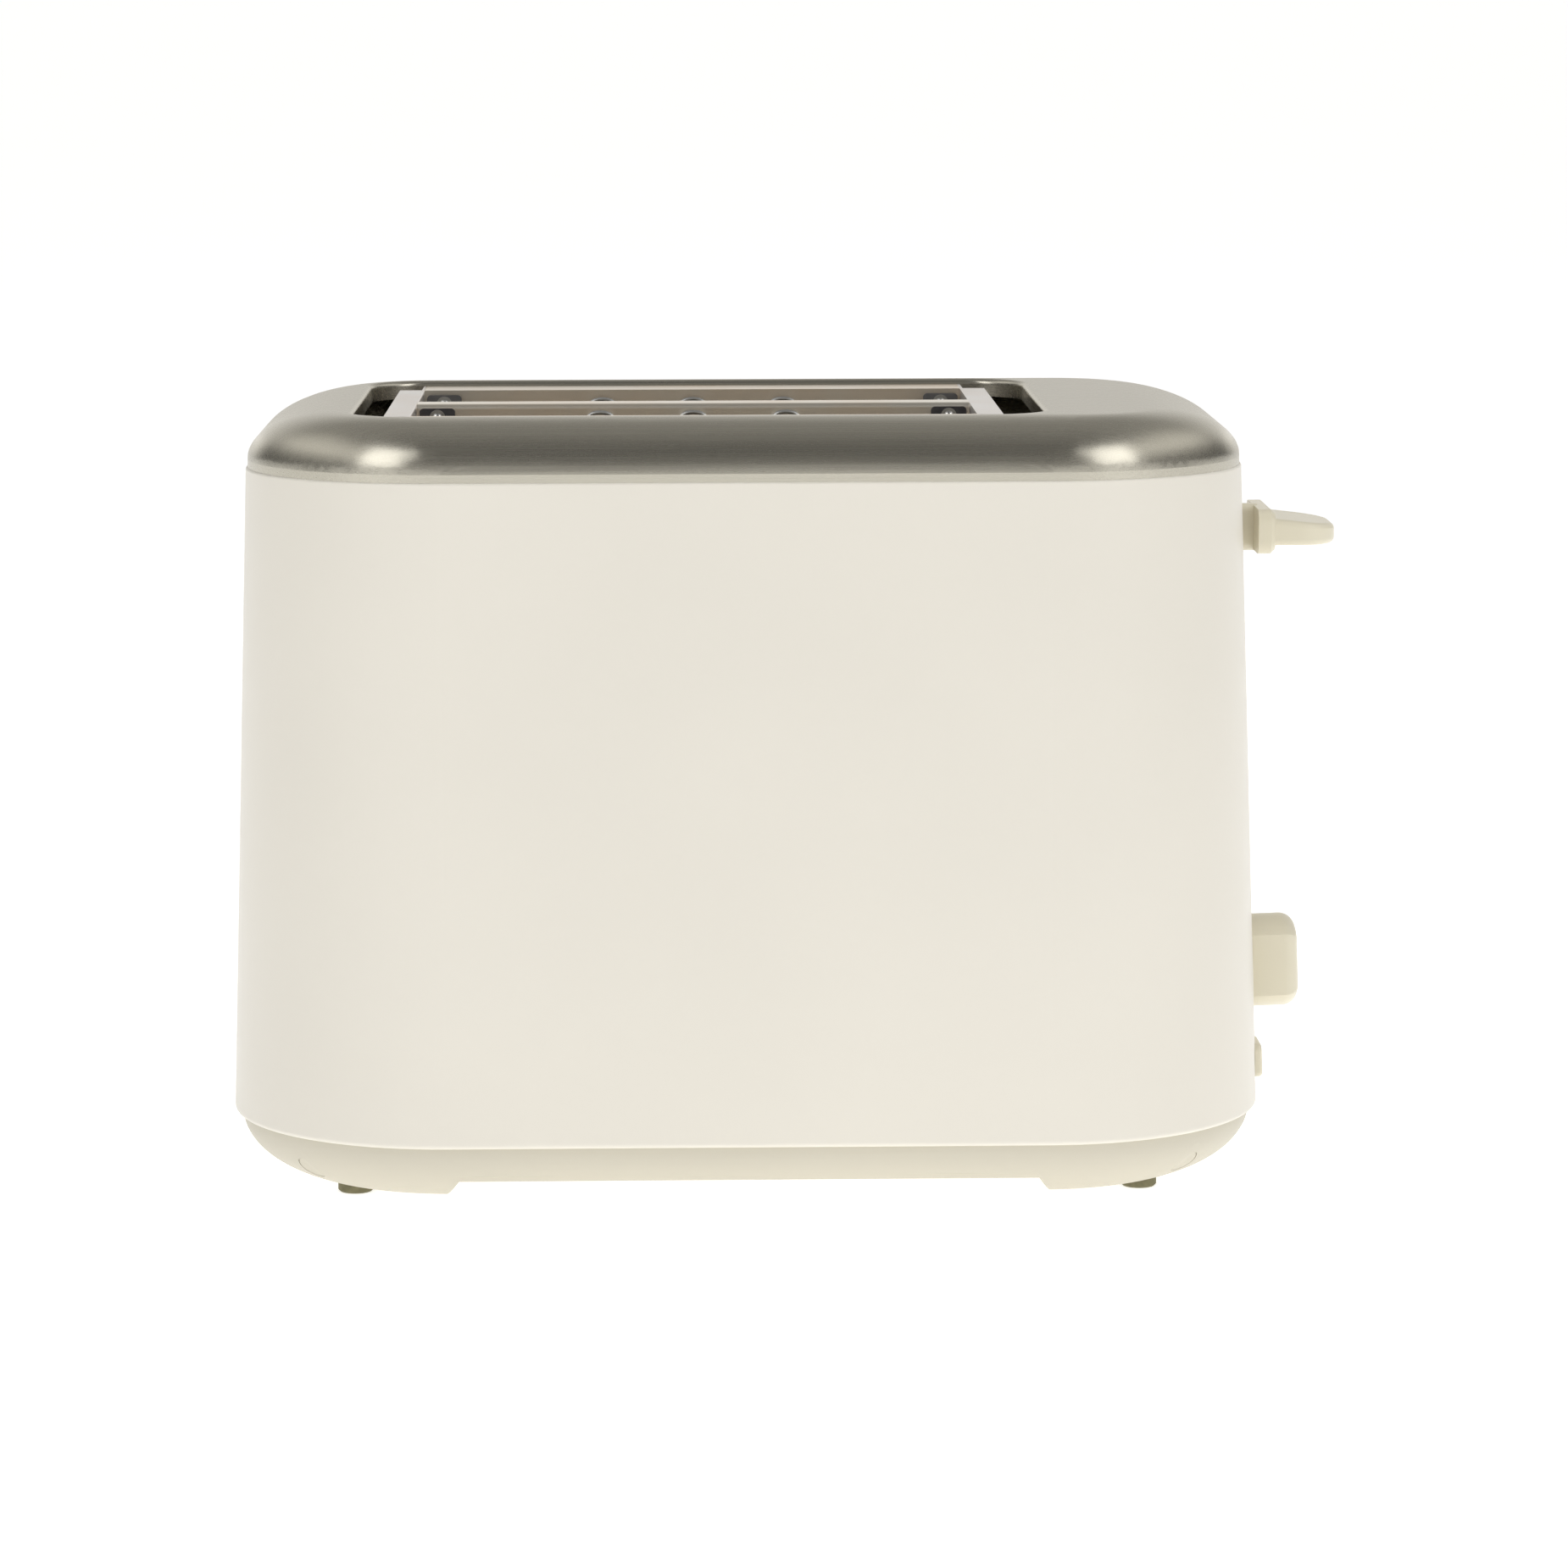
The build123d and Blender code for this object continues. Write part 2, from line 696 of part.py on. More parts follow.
# --- Carriage: bracket, bush, racks, armature ---------------------------------------------------------
plate_x = (bracket_x, bracket_x + bracket_sheet)
tab_reach = rod_x + bush_flange_radius + 3.0
arm_end = lever_wall + knob_gap + collar_thickness - 1.2
rack_half_span = slot_middle + 4.0
armature_top = rack_top - 5.0
armature_thickness = 3.0
with BuildPart() as carriage_bracket:
    add(block(plate_x, (-rack_half_span, rack_half_span), (rack_top - rack_height - 2, rack_top + 2)))
    add(block(plate_x, (-tab_width / 2, tab_width / 2), (rack_top, tab_high)))
    for z in (tab_low, tab_high - bracket_sheet):
        add(block((bracket_x, tab_reach), (-tab_width / 2, tab_width / 2), (z, z + bracket_sheet)))
    half_arm = arm_thickness / 2
    arm_low = lever_z - arm_height / 2
    add(block((rod_x + bush_radius + 1, tab_reach), (-half_arm, half_arm), (tab_low, tab_high)))
    add(block((rod_x + bush_radius + 1, arm_end), (-half_arm, half_arm), (arm_low, arm_low + arm_height)))
    magnet_tab_y = (magnet_y - 7, magnet_y + 7)
    add(block((bracket_x, rod_x + 8), magnet_tab_y, (armature_top, armature_top + bracket_sheet)))
    with BuildSketch(floor.offset(tab_low - 1)):
        with Locations((rod_x, 0)):
            Circle(bush_radius)
    extrude(amount=tab_high - tab_low + 2, mode=Mode.SUBTRACT)
    with BuildSketch(end_view.offset(bracket_x - 1)):
        for y in (-slot_middle, slot_middle):
            with Locations((y, rack_top - rack_height / 2)):
                Rectangle(rack_sheet, rack_height)
    extrude(amount=bracket_sheet + 2, mode=Mode.SUBTRACT)
carriage_bracket.part.label = "carriage_bracket"
export_step(carriage_bracket.part, "parts/carriage_bracket.step")

with BuildPart() as carriage_bush:
    with BuildSketch(floor.offset(bush_low)):
        with Locations((rod_x, 0)):
            Circle(bush_flange_radius)
    extrude(amount=bush_flange)
    with BuildSketch(floor.offset(tab_low)):
        with Locations((rod_x, 0)):
            Circle(bush_radius)
    extrude(amount=bush_top - tab_low)
    with BuildSketch(floor.offset(bush_low)):
        with Locations((rod_x, 0)):
            Circle(rod_radius + rod_fit)
    extrude(amount=bush_top - bush_low, mode=Mode.SUBTRACT)
carriage_bush.part.label = "carriage_bush"
export_step(carriage_bush.part, "parts/carriage_bush.step")

for side, name in ((-1, "bread_rack_front"), (1, "bread_rack_rear")):
    y = side * slot_middle
    spine_x = (web_left - sheet - 4.0, bracket_x + bracket_sheet)
    with BuildPart() as rack:
        add(block(spine_x, (y - rack_sheet / 2, y + rack_sheet / 2), (rack_top - rack_height, rack_top)))
        bar_pitch = (slot_length - 20.0) / (rack_bars - 1)
        with BuildSketch(front_view.offset(-(y + rack_bar_length / 2))):
            with Locations((slot_centre_x, rack_top - rack_wire / 2)):
                with GridLocations(bar_pitch, 1, rack_bars, 1):
                    Circle(rack_wire / 2)
        extrude(amount=rack_bar_length)
    rack.part.label = name
    export_step(rack.part, f"parts/{name}.step")

with BuildPart() as armature_plate:
    add(block((rod_x - 8, rod_x + 8), magnet_tab_y, (armature_top - armature_thickness, armature_top)))
    fillet(armature_plate.edges().filter_by(Axis.Z), 1.5)
armature_plate.part.label = "armature_plate"
export_step(armature_plate.part, "parts/armature_plate.step")

# --- Holding electromagnet ----------------------------------------------------------------------------
pole_top = armature_top - armature_thickness - travel - moving_gap
pole_x = 8.0
with BuildPart() as magnet_core:
    core_y = (magnet_y - 5, magnet_y + 5)
    add(block((rod_x - pole_x - 2, rod_x + pole_x + 2), core_y, (magnet_floor, magnet_floor + 4)))
    for x in (rod_x - pole_x, rod_x, rod_x + pole_x):
        add(block((x - 2, x + 2), core_y, (magnet_floor, pole_top)))
magnet_core.part.label = "magnet_core"
export_step(magnet_core.part, "parts/magnet_core.step")

with BuildPart() as magnet_coil:
    coil_y = (magnet_y - 9, magnet_y + 9)
    add(block((rod_x - pole_x + 2.3, rod_x + pole_x - 2.3), coil_y, (magnet_floor + 4, pole_top - 2)))
    fillet(magnet_coil.edges().filter_by(Axis.Z), 2.5)
    add(
        block((rod_x - 2, rod_x + 2), (magnet_y - 5, magnet_y + 5), (magnet_floor + 4, pole_top)),
        mode=Mode.SUBTRACT,
    )
magnet_coil.part.label = "magnet_coil"
export_step(magnet_coil.part, "parts/magnet_coil.step")

# --- Lever knob ---------------------------------------------------------------------------------------
knob_root = lever_wall + knob_gap
collar_end = knob_root + collar_thickness
handle_width = collar_width - 2.0
handle_z = lever_z - handle_thickness / 2
with BuildPart() as handle:
    with BuildSketch(front_view.offset(-handle_width / 2)):
        with BuildLine():
            Polyline(
                (collar_end - 1.5, handle_z),
                (lever_tip, handle_z),
                (lever_tip, handle_z + handle_tip),
                (collar_end - 1.5, handle_z + handle_thickness),
                close=True,
            )
        make_face()
    extrude(amount=handle_width)
    fillet(handle.edges().filter_by(Axis.Z).group_by(Axis.X)[-1], handle_corner)
    fillet(handle.faces().sort_by(Axis.Z)[0].edges().sort_by(Axis.X)[1:], 1.5)
    fillet(handle.faces().sort_by(Axis.Z)[-1].edges().sort_by(Axis.X)[1:], 1.5)

with BuildPart() as lever_knob:
    with BuildSketch(end_view.offset(knob_root)):
        with Locations((0, lever_z)):
            RectangleRounded(collar_width, collar_height, 3.0)
    extrude(amount=collar_thickness)
    chamfer(lever_knob.faces().sort_by(Axis.X)[-1].edges(), 1.1)
    with BuildSketch(end_view.offset(lever_wall - wall)):
        with Locations((0, lever_z)):
            RectangleRounded(neck_width, neck_height, 2.0)
    extrude(amount=knob_gap + wall + 1.0)
    add(handle.part)
    arm_pocket = (arm_low, arm_low + arm_height)
    add(block((lever_wall - 2 * wall, arm_end), (-half_arm, half_arm), arm_pocket), mode=Mode.SUBTRACT)
lever_knob.part.label = "lever_knob"
export_step(lever_knob.part, "parts/lever_knob.step")

# --- Circuit board behind the dial and buttons --------------------------------------------------------
board_face = control_face.offset(-board_depth)
board_middle = (board_low + board_high) / 2
board_height = board_high - board_low
board_hole_spots = [(x, y) for x in (-board_half_width + 5, board_half_width - 5) for y in (board_high - 5,)]
with BuildPart() as circuit_board:
    with BuildSketch(board_face):
        with Locations((0, board_middle)):
            RectangleRounded(2 * board_half_width, board_height, 2.0)
        with Locations(*board_hole_spots):
            Circle(screw_radius + 0.1, mode=Mode.SUBTRACT)
    extrude(amount=-board_thickness)
circuit_board.part.label = "circuit_board"
export_step(circuit_board.part, "parts/circuit_board.step")

# Two posts on a strip carry the board off the inside of the end wall
with BuildPart() as board_bracket:
    with BuildSketch(board_face):
        with Locations(*board_hole_spots):
            Circle(boss_radius - 1.0)
    extrude(amount=board_depth - wall / 2)
    with BuildSketch(control_face.offset(-wall - 1.5)):
        with Locations((0, board_high - 5)):
            Rectangle(2 * board_half_width - 10.0, 5.0)
    extrude(amount=1.5 + wall / 2)
    add(housing.part, mode=Mode.SUBTRACT)
    with BuildSketch(board_face):
        with Locations(*board_hole_spots):
            Circle(screw_radius)
    extrude(amount=8.0, mode=Mode.SUBTRACT)
board_bracket.part.label = "board_bracket"
export_step(board_bracket.part, "parts/board_bracket.step")

with BuildPart() as board_screws:
    with BuildSketch(board_face.offset(-board_thickness)):
        with Locations(*board_hole_spots):
            Circle(screw_radius)
    extrude(amount=board_thickness + 8.0)
    with BuildSketch(board_face.offset(-board_thickness - screw_head)):
        with Locations(*board_hole_spots):
            Circle(screw_head_radius)
    extrude(amount=screw_head)
board_screws.part.label = "board_screws"
export_step(board_screws.part, "parts/board_screws.step")

pot_depth = 7.0
with BuildPart() as browning_control:
    with BuildSketch(board_face):
        RectangleRounded(17.0, 19.0, 2.0)
    extrude(amount=pot_depth)
    with BuildSketch(board_face.offset(pot_depth)):
        Circle(shaft_radius + 1.5)
    extrude(amount=5.0)
    with BuildSketch(board_face.offset(1.5)):
        Circle(shaft_radius + wire_fit)
    extrude(amount=pot_depth + 5.0, mode=Mode.SUBTRACT)
browning_control.part.label = "browning_control"
export_step(browning_control.part, "parts/browning_control.step")

with BuildPart() as browning_shaft:
    with BuildSketch(board_face.offset(1.5 + moving_gap)):
        Circle(shaft_radius)
    extrude(amount=board_depth + dial_reach - 4.0 - 1.5 - moving_gap)
browning_shaft.part.label = "browning_shaft"
export_step(browning_shaft.part, "parts/browning_shaft.step")

with BuildPart() as browning_dial:
    with BuildSketch(control_face.offset(moving_gap)):
        Circle(dial_skirt_radius)
    extrude(amount=dial_skirt)
    with BuildSketch(control_face.offset(moving_gap + dial_skirt)):
        Circle(dial_radius)
        Rectangle(dial_flats, 3 * dial_radius, mode=Mode.INTERSECT)
    extrude(amount=dial_reach - moving_gap - dial_skirt)
    outer_face = browning_dial.faces().filter_by(press_axis).sort_by(press_axis)[-1]
    fillet(outer_face.edges(), dial_edge)
    with BuildSketch(control_face.offset(moving_gap)):
        Circle(shaft_radius)
    extrude(amount=dial_reach - 4.0 - moving_gap, mode=Mode.SUBTRACT)
browning_dial.part.label = "browning_dial"
export_step(browning_dial.part, "parts/browning_dial.step")

# --- Push buttons and their switches ------------------------------------------------------------------
switch_depth = 5.0
for name, spot in button_spots.items():
    with BuildPart() as button:
        with BuildSketch(control_face.offset(-wall - 1.0)):
            with Locations(spot):
                RectangleRounded(button_width, button_height, 1.8)
        extrude(amount=button_proud + wall + 1.0)
        fillet(button.faces().filter_by(press_axis).sort_by(press_axis)[-1].edges(), 0.8)
        with BuildSketch(control_face.offset(-wall - 2.0)):
            with Locations(spot):
                Rectangle(button_width + 2.4, button_height + 1.2)
        extrude(amount=1.6)
        with BuildSketch(board_face.offset(switch_depth + button_travel + moving_gap)):
            with Locations(spot):
                Circle(2.0)
        extrude(amount=board_depth - switch_depth - button_travel - moving_gap - wall - 1.5)
    button.part.label = f"button_{name}"
    export_step(button.part, f"parts/button_{name}.step")

    with BuildPart() as switch:
        with BuildSketch(board_face):
            with Locations(spot):
                RectangleRounded(6.0, 6.0, 0.5)
        extrude(amount=switch_depth - 1.5)
        with BuildSketch(board_face.offset(switch_depth - 1.5)):
            with Locations(spot):
                Circle(1.7)
        extrude(amount=1.5)
    switch.part.label = f"push_switch_{name}"
    export_step(switch.part, f"parts/push_switch_{name}.step")

# --- Parts on the inner side of the board -------------------------------------------------------------
board_back = board_face.offset(-board_thickness)
with BuildPart() as relay:
    with BuildSketch(board_back):
        with Locations((-18.0, 8.0)):
            RectangleRounded(15.0, 19.0, 1.0)
    extrude(amount=-9.0)
relay.part.label = "relay"
export_step(relay.part, "parts/relay.step")

with BuildPart() as capacitor:
    with BuildSketch(board_back):
        with Locations((-20.0, -12.0)):
            Circle(5.0)
    extrude(amount=-10.0)
    chamfer(capacitor.edges().sort_by(Axis.X)[0], 0.6)
capacitor.part.label = "capacitor"
export_step(capacitor.part, "parts/capacitor.step")

with BuildPart() as timer_chip:
    with BuildSketch(board_back):
        with Locations((0, 22.0)):
            Rectangle(19.0, 6.5)
    extrude(amount=-3.5)
timer_chip.part.label = "timer_chip"
export_step(timer_chip.part, "parts/timer_chip.step")

# --- Crumb tray ---------------------------------------------------------------------------------------
tray_front = -(body_depth / 2 - wall - 12.0)
tray_rear = rear_low - wall - 1.0
with BuildPart() as crumb_tray:
    add(block((tray_left, tray_right), (tray_front, tray_rear), (tray_low, tray_top)))
    inside_x = (tray_left + tray_sheet, tray_right - tray_sheet)
    inside_y = (tray_front + tray_sheet, tray_rear - tray_sheet)
    add(block(inside_x, inside_y, (tray_low + tray_sheet, tray_top)), mode=Mode.SUBTRACT)
crumb_tray.part.label = "crumb_tray"
export_step(crumb_tray.part, "parts/crumb_tray.step")

grip_out = 1.0
with BuildPart() as crumb_tray_grip:
    add(block((tray_left, tray_right), (tray_rear, rear_low + grip_out), (tray_low, tray_top)))
    fillet(crumb_tray_grip.faces().sort_by(Axis.Y)[-1].edges(), 0.8)
    with BuildSketch(front_view.offset(-rear_low - grip_out)):
        with Locations((tray_middle, tray_low)):
            RectangleRounded(tray_grip_width, 5.0, 2.0)
    extrude(amount=3.0, mode=Mode.SUBTRACT)
crumb_tray_grip.part.label = "crumb_tray_grip"
export_step(crumb_tray_grip.part, "parts/crumb_tray_grip.step")

# --- Cord gland and terminal block --------------------------------------------------------------------
with BuildPart() as cord_gland:
    with BuildSketch(rear_face):
        Circle(gland_flange_radius)
    extrude(amount=gland_flange)
    fillet(cord_gland.edges().sort_by(Axis.Y)[-1], 0.8)
    with BuildSketch(rear_face.offset(-wall)):
        RectangleRounded(gland_neck, gland_neck, gland_corner)
    extrude(amount=wall)
    with BuildSketch(rear_face.offset(-wall - gland_catch)):
        Circle(gland_neck / 2 + 1.5)
    extrude(amount=gland_catch)
    with BuildSketch(rear_face.offset(-wall - gland_catch)):
        Circle(gland_bore)
    extrude(amount=wall + gland_catch + gland_flange, mode=Mode.SUBTRACT)
cord_gland.part.label = "cord_gland"
export_step(cord_gland.part, "parts/cord_gland.step")

with BuildPart() as terminal_block:
    add(block(terminal_x, (terminal_y - 5, terminal_y + 5), (terminal_floor, terminal_floor + 12)))
    fillet(terminal_block.edges().filter_by(Axis.Z), 1.0)
    with BuildSketch(floor.offset(terminal_floor + 4)):
        with Locations((rod_x - 1, terminal_y), (rod_x + 7, terminal_y)):
            Circle(1.6)
    extrude(amount=8, mode=Mode.SUBTRACT)
terminal_block.part.label = "terminal_block"
export_step(terminal_block.part, "parts/terminal_block.step")
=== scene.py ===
import json
import math

import bmesh
import bpy
from mathutils import Matrix, Vector
from mathutils.bvhtree import BVHTree


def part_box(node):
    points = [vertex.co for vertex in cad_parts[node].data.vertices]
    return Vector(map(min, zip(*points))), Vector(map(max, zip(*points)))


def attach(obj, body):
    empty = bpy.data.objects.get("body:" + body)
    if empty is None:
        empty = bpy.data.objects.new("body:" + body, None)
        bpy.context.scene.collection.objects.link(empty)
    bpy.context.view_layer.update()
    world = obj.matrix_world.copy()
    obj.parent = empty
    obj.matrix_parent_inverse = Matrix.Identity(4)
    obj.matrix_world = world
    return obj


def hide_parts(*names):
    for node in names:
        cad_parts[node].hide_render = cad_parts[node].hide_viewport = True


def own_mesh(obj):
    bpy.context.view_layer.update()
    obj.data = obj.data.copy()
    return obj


MM = 0.001

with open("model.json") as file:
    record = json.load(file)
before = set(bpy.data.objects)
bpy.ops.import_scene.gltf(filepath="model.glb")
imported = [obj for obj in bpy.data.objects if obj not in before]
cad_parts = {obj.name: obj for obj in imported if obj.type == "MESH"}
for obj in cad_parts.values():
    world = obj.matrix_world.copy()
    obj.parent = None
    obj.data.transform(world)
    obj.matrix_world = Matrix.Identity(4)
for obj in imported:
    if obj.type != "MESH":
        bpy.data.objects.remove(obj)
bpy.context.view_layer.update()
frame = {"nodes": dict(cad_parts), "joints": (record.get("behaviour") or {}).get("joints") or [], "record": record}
nodes = frame["nodes"]
record = frame["record"]
joints = {joint["name"]: joint for joint in frame["joints"]}


# ---------------------------------------------------------------------------------------------------------
# Node helpers for the materials
# ---------------------------------------------------------------------------------------------------------
class Finish:
    """One procedural material: a Principled shader and the textures that feed it."""

    def __init__(self, name, roughness=0.5, metallic=0.0, **sockets):
        self.material = bpy.data.materials.new(name)
        self.material.use_nodes = True
        self.tree = self.material.node_tree
        self.shader = self.tree.nodes["Principled BSDF"]
        self.shader.inputs["Metallic"].default_value = metallic
        self.shader.inputs["Roughness"].default_value = roughness
        for socket, value in sockets.items():
            self.shader.inputs[socket.replace("_", " ")].default_value = value
        self.place = self.tree.nodes.new("ShaderNodeTexCoord").outputs["Object"]

    def link(self, source, target):
        self.tree.links.new(source, target)

    def stretched(self, scale):
        """Object coordinates, stretched by a factor along each axis."""
        mapping = self.tree.nodes.new("ShaderNodeMapping")
        mapping.inputs["Scale"].default_value = scale
        self.link(self.place, mapping.inputs["Vector"])
        return mapping.outputs["Vector"]

    def noise(self, scale, detail, stretch=(1, 1, 1), roughness=0.55):
        texture = self.tree.nodes.new("ShaderNodeTexNoise")
        texture.inputs["Scale"].default_value = scale
        texture.inputs["Detail"].default_value = detail
        texture.inputs["Roughness"].default_value = roughness
        self.link(self.stretched(stretch), texture.inputs["Vector"])
        return texture.outputs["Fac"]

    def waves(self, scale, axis, distortion):
        texture = self.tree.nodes.new("ShaderNodeTexWave")
        texture.bands_direction = axis
        texture.inputs["Scale"].default_value = scale
        texture.inputs["Distortion"].default_value = distortion
        self.link(self.place, texture.inputs["Vector"])
        return texture.outputs["Fac"]

    def cells(self, scale, stretch):
        texture = self.tree.nodes.new("ShaderNodeTexVoronoi")
        texture.inputs["Scale"].default_value = scale
        self.link(self.stretched(stretch), texture.inputs["Vector"])
        return texture.outputs["Distance"]

    def ramp(self, fac, *stops):
        """A colour or grey that follows fac through (place, colour) stops."""
        node = self.tree.nodes.new("ShaderNodeValToRGB")
        elements = node.color_ramp.elements
        while len(elements) < len(stops):
            elements.new(0.5)
        for element, (position, colour) in zip(elements, stops):
            element.position = position
            element.color = (*colour, 1.0)
        self.link(fac, node.inputs["Fac"])
        return node.outputs["Color"]

    def colour(self, fac, *stops):
        """Base colour that follows fac through (place, colour) stops."""
        self.link(self.ramp(fac, *stops), self.shader.inputs["Base Color"])
        return self

    def vary_roughness(self, fac, low, high):
        """Roughness that follows fac from low to high."""
        node = self.tree.nodes.new("ShaderNodeMapRange")
        node.inputs["To Min"].default_value = low
        node.inputs["To Max"].default_value = high
        self.link(fac, node.inputs["Value"])
        self.link(node.outputs["Result"], self.shader.inputs["Roughness"])
        return self

    def bump(self, fac, strength, distance, normal=None):
        """Relief that follows fac, on top of another relief where one is given."""
        node = self.tree.nodes.new("ShaderNodeBump")
        node.inputs["Strength"].default_value = strength
        node.inputs["Distance"].default_value = distance
        self.link(fac, node.inputs["Height"])
        if normal is not None:
            self.link(normal, node.inputs["Normal"])
        self.link(node.outputs["Normal"], self.shader.inputs["Normal"])
        return node.outputs["Normal"]


def shade(colour, factor):
    """A colour made darker or lighter."""
    return tuple(min(1.0, c * factor) for c in colour)


def moulded(name, colour, roughness, grain):
    """Moulded plastic: fine spark-eroded grain, faint flow variation in tone and gloss."""
    finish = Finish(name, roughness, Specular_IOR_Level=0.5)
    flow = finish.noise(scale=9.0, detail=2.0)
    finish.colour(flow, (0.3, shade(colour, 0.972)), (0.7, shade(colour, 1.012)))
    gloss = finish.noise(scale=140.0, detail=3.0)
    finish.vary_roughness(gloss, low=roughness - 0.05, high=roughness + 0.06)
    fine = finish.bump(finish.noise(scale=2600.0, detail=2.0), strength=grain, distance=0.06 * MM)
    finish.bump(finish.noise(scale=60.0, detail=2.0), strength=0.05, distance=0.4 * MM, normal=fine)
    return finish.material


def brushed(name, colour, roughness, anisotropy):
    """Steel brushed along X: streaks in tone, gloss and relief, and an anisotropic highlight."""
    finish = Finish(name, roughness, metallic=1.0, Anisotropic=anisotropy)
    streaks = finish.noise(scale=1.0, detail=6.0, stretch=(14.0, 1500.0, 1500.0), roughness=0.7)
    finish.colour(streaks, (0.25, shade(colour, 0.94)), (0.75, shade(colour, 1.05)))
    finish.vary_roughness(streaks, low=roughness - 0.03, high=roughness + 0.04)
    scratches = finish.noise(scale=1.0, detail=4.0, stretch=(16.0, 1700.0, 1700.0), roughness=0.6)
    finish.bump(scratches, strength=0.045, distance=0.04 * MM)
    tangent = finish.tree.nodes.new("ShaderNodeTangent")
    tangent.direction_type = "RADIAL"
    tangent.axis = "X"
    finish.link(tangent.outputs["Tangent"], finish.shader.inputs["Tangent"])
    return finish.material


def sheet_metal(name, colour, roughness, warm, patches):
    """Bright rolled sheet with faint rolling lines, fingermark haze and patches of heat tint."""
    finish = Finish(name, roughness, metallic=1.0)
    haze = finish.noise(scale=patches, detail=5.0)
    tinted = (colour[0], colour[1] * warm, colour[2] * warm * warm)
    finish.colour(haze, (0.35, colour), (0.8, tinted))
    finish.vary_roughness(haze, low=roughness - 0.04, high=roughness + 0.10)
    rolling = finish.noise(scale=1.0, detail=3.0, stretch=(30.0, 30.0, 900.0))
    finish.bump(rolling, strength=0.03, distance=0.05 * MM)
    return finish.material


def plain_metal(name, colour, roughness, grain=900.0):
    """Plated or bare metal with a fine broken surface."""
    finish = Finish(name, roughness, metallic=1.0)
    mottle = finish.noise(scale=grain / 4, detail=4.0)
    finish.colour(mottle, (0.3, shade(colour, 0.85)), (0.7, shade(colour, 1.1)))
    finish.vary_roughness(mottle, low=roughness - 0.06, high=roughness + 0.1)
    finish.bump(finish.noise(scale=grain, detail=3.0), strength=0.15, distance=0.03 * MM)
    return finish.material


def rubber(name, colour):
    """Dull rubber with a dusting of lighter specks."""
    finish = Finish(name, Specular_IOR_Level=0.35)
    dust = finish.noise(scale=420.0, detail=5.0)
    finish.colour(dust, (0.35, shade(colour, 0.85)), (0.75, shade(colour, 1.25)))
    finish.vary_roughness(dust, low=0.62, high=0.85)
    finish.bump(finish.noise(scale=1900.0, detail=3.0), strength=0.3, distance=0.08 * MM)
    return finish.material


def mica(name):
    """Pressed mica: flakes in warm straw tones with a pearly gloss."""
    finish = Finish(name, Specular_IOR_Level=0.6)
    flakes = finish.cells(scale=160.0, stretch=(1.0, 1.0, 1.3))
    finish.colour(flakes, (0.1, (0.60, 0.50, 0.35)), (0.5, (0.50, 0.40, 0.27)), (0.9, (0.66, 0.58, 0.43)))
    finish.vary_roughness(flakes, low=0.3, high=0.6)
    finish.bump(flakes, strength=0.2, distance=0.1 * MM)
    return finish.material


def wound_copper(name):
    """Enamelled wire laid in close turns."""
    finish = Finish(name, roughness=0.3, metallic=0.85)
    turns = finish.waves(scale=900.0, axis="Z", distortion=0.4)
    finish.colour(turns, (0.1, (0.20, 0.07, 0.02)), (0.6, (0.66, 0.28, 0.10)))
    finish.bump(turns, strength=0.6, distance=0.3 * MM)
    return finish.material


def laminate(name):
    """Brown paper-laminate circuit board with a faint weave."""
    finish = Finish(name, roughness=0.5)
    weave = finish.noise(scale=700.0, detail=3.0, stretch=(1.0, 1.0, 3.0))
    finish.colour(weave, (0.35, (0.33, 0.21, 0.08)), (0.7, (0.44, 0.30, 0.13)))
    finish.bump(weave, strength=0.15, distance=0.05 * MM)
    return finish.material


def laminated_steel(name):
    """Dark steel plates in a stack."""
    finish = Finish(name, roughness=0.4, metallic=1.0)
    layers = finish.waves(scale=650.0, axis="Y", distortion=0.2)
    finish.colour(layers, (0.2, (0.10, 0.10, 0.11)), (0.8, (0.36, 0.36, 0.37)))
    finish.bump(layers, strength=0.5, distance=0.2 * MM)
    return finish.material


# each name is a slot of the record, except heated_sheet and grey_print
FINISHES = {
    "cream_shell": moulded("cream_shell", (0.80, 0.765, 0.685), 0.36, grain=0.18),
    "cream_knob": moulded("cream_knob", (0.76, 0.71, 0.56), 0.32, grain=0.12),
    "beige_base": moulded("beige_base", (0.60, 0.565, 0.47), 0.48, grain=0.4),
    "brushed_cover": brushed("brushed_cover", (0.60, 0.57, 0.485), 0.27, anisotropy=0.65),
    "bright_sheet": sheet_metal("bright_sheet", (0.88, 0.855, 0.83), 0.33, warm=0.93, patches=38.0),
    "heated_sheet": sheet_metal("heated_sheet", (0.92, 0.90, 0.82), 0.30, warm=0.84, patches=17.0),
    "steel_wire": plain_metal("steel_wire", (0.74, 0.73, 0.71), 0.22),
    "zinc_steel": plain_metal("zinc_steel", (0.60, 0.60, 0.58), 0.34),
    "dark_steel": laminated_steel("dark_steel"),
    "resistance_alloy": plain_metal("resistance_alloy", (0.42, 0.36, 0.30), 0.38, grain=1400.0),
    "mica": mica("mica"),
    "copper_coil": wound_copper("copper_coil"),
    "board_laminate": laminate("board_laminate"),
    "white_nylon": moulded("white_nylon", (0.82, 0.81, 0.77), 0.45, grain=0.2),
    "black_rubber": rubber("black_rubber", (0.03, 0.03, 0.03)),
    "foot_rubber": rubber("foot_rubber", (0.22, 0.205, 0.12)),
    "grey_print": moulded("grey_print", (0.16, 0.155, 0.145), 0.5, grain=0.2),
    "black_plastic": moulded("black_plastic", (0.035, 0.035, 0.037), 0.42, grain=0.3),
}


def finish_with(obj, slot_name):
    """Gives an object one of the finishes as its only material."""
    obj.data.materials.clear()
    obj.data.materials.append(FINISHES[slot_name])


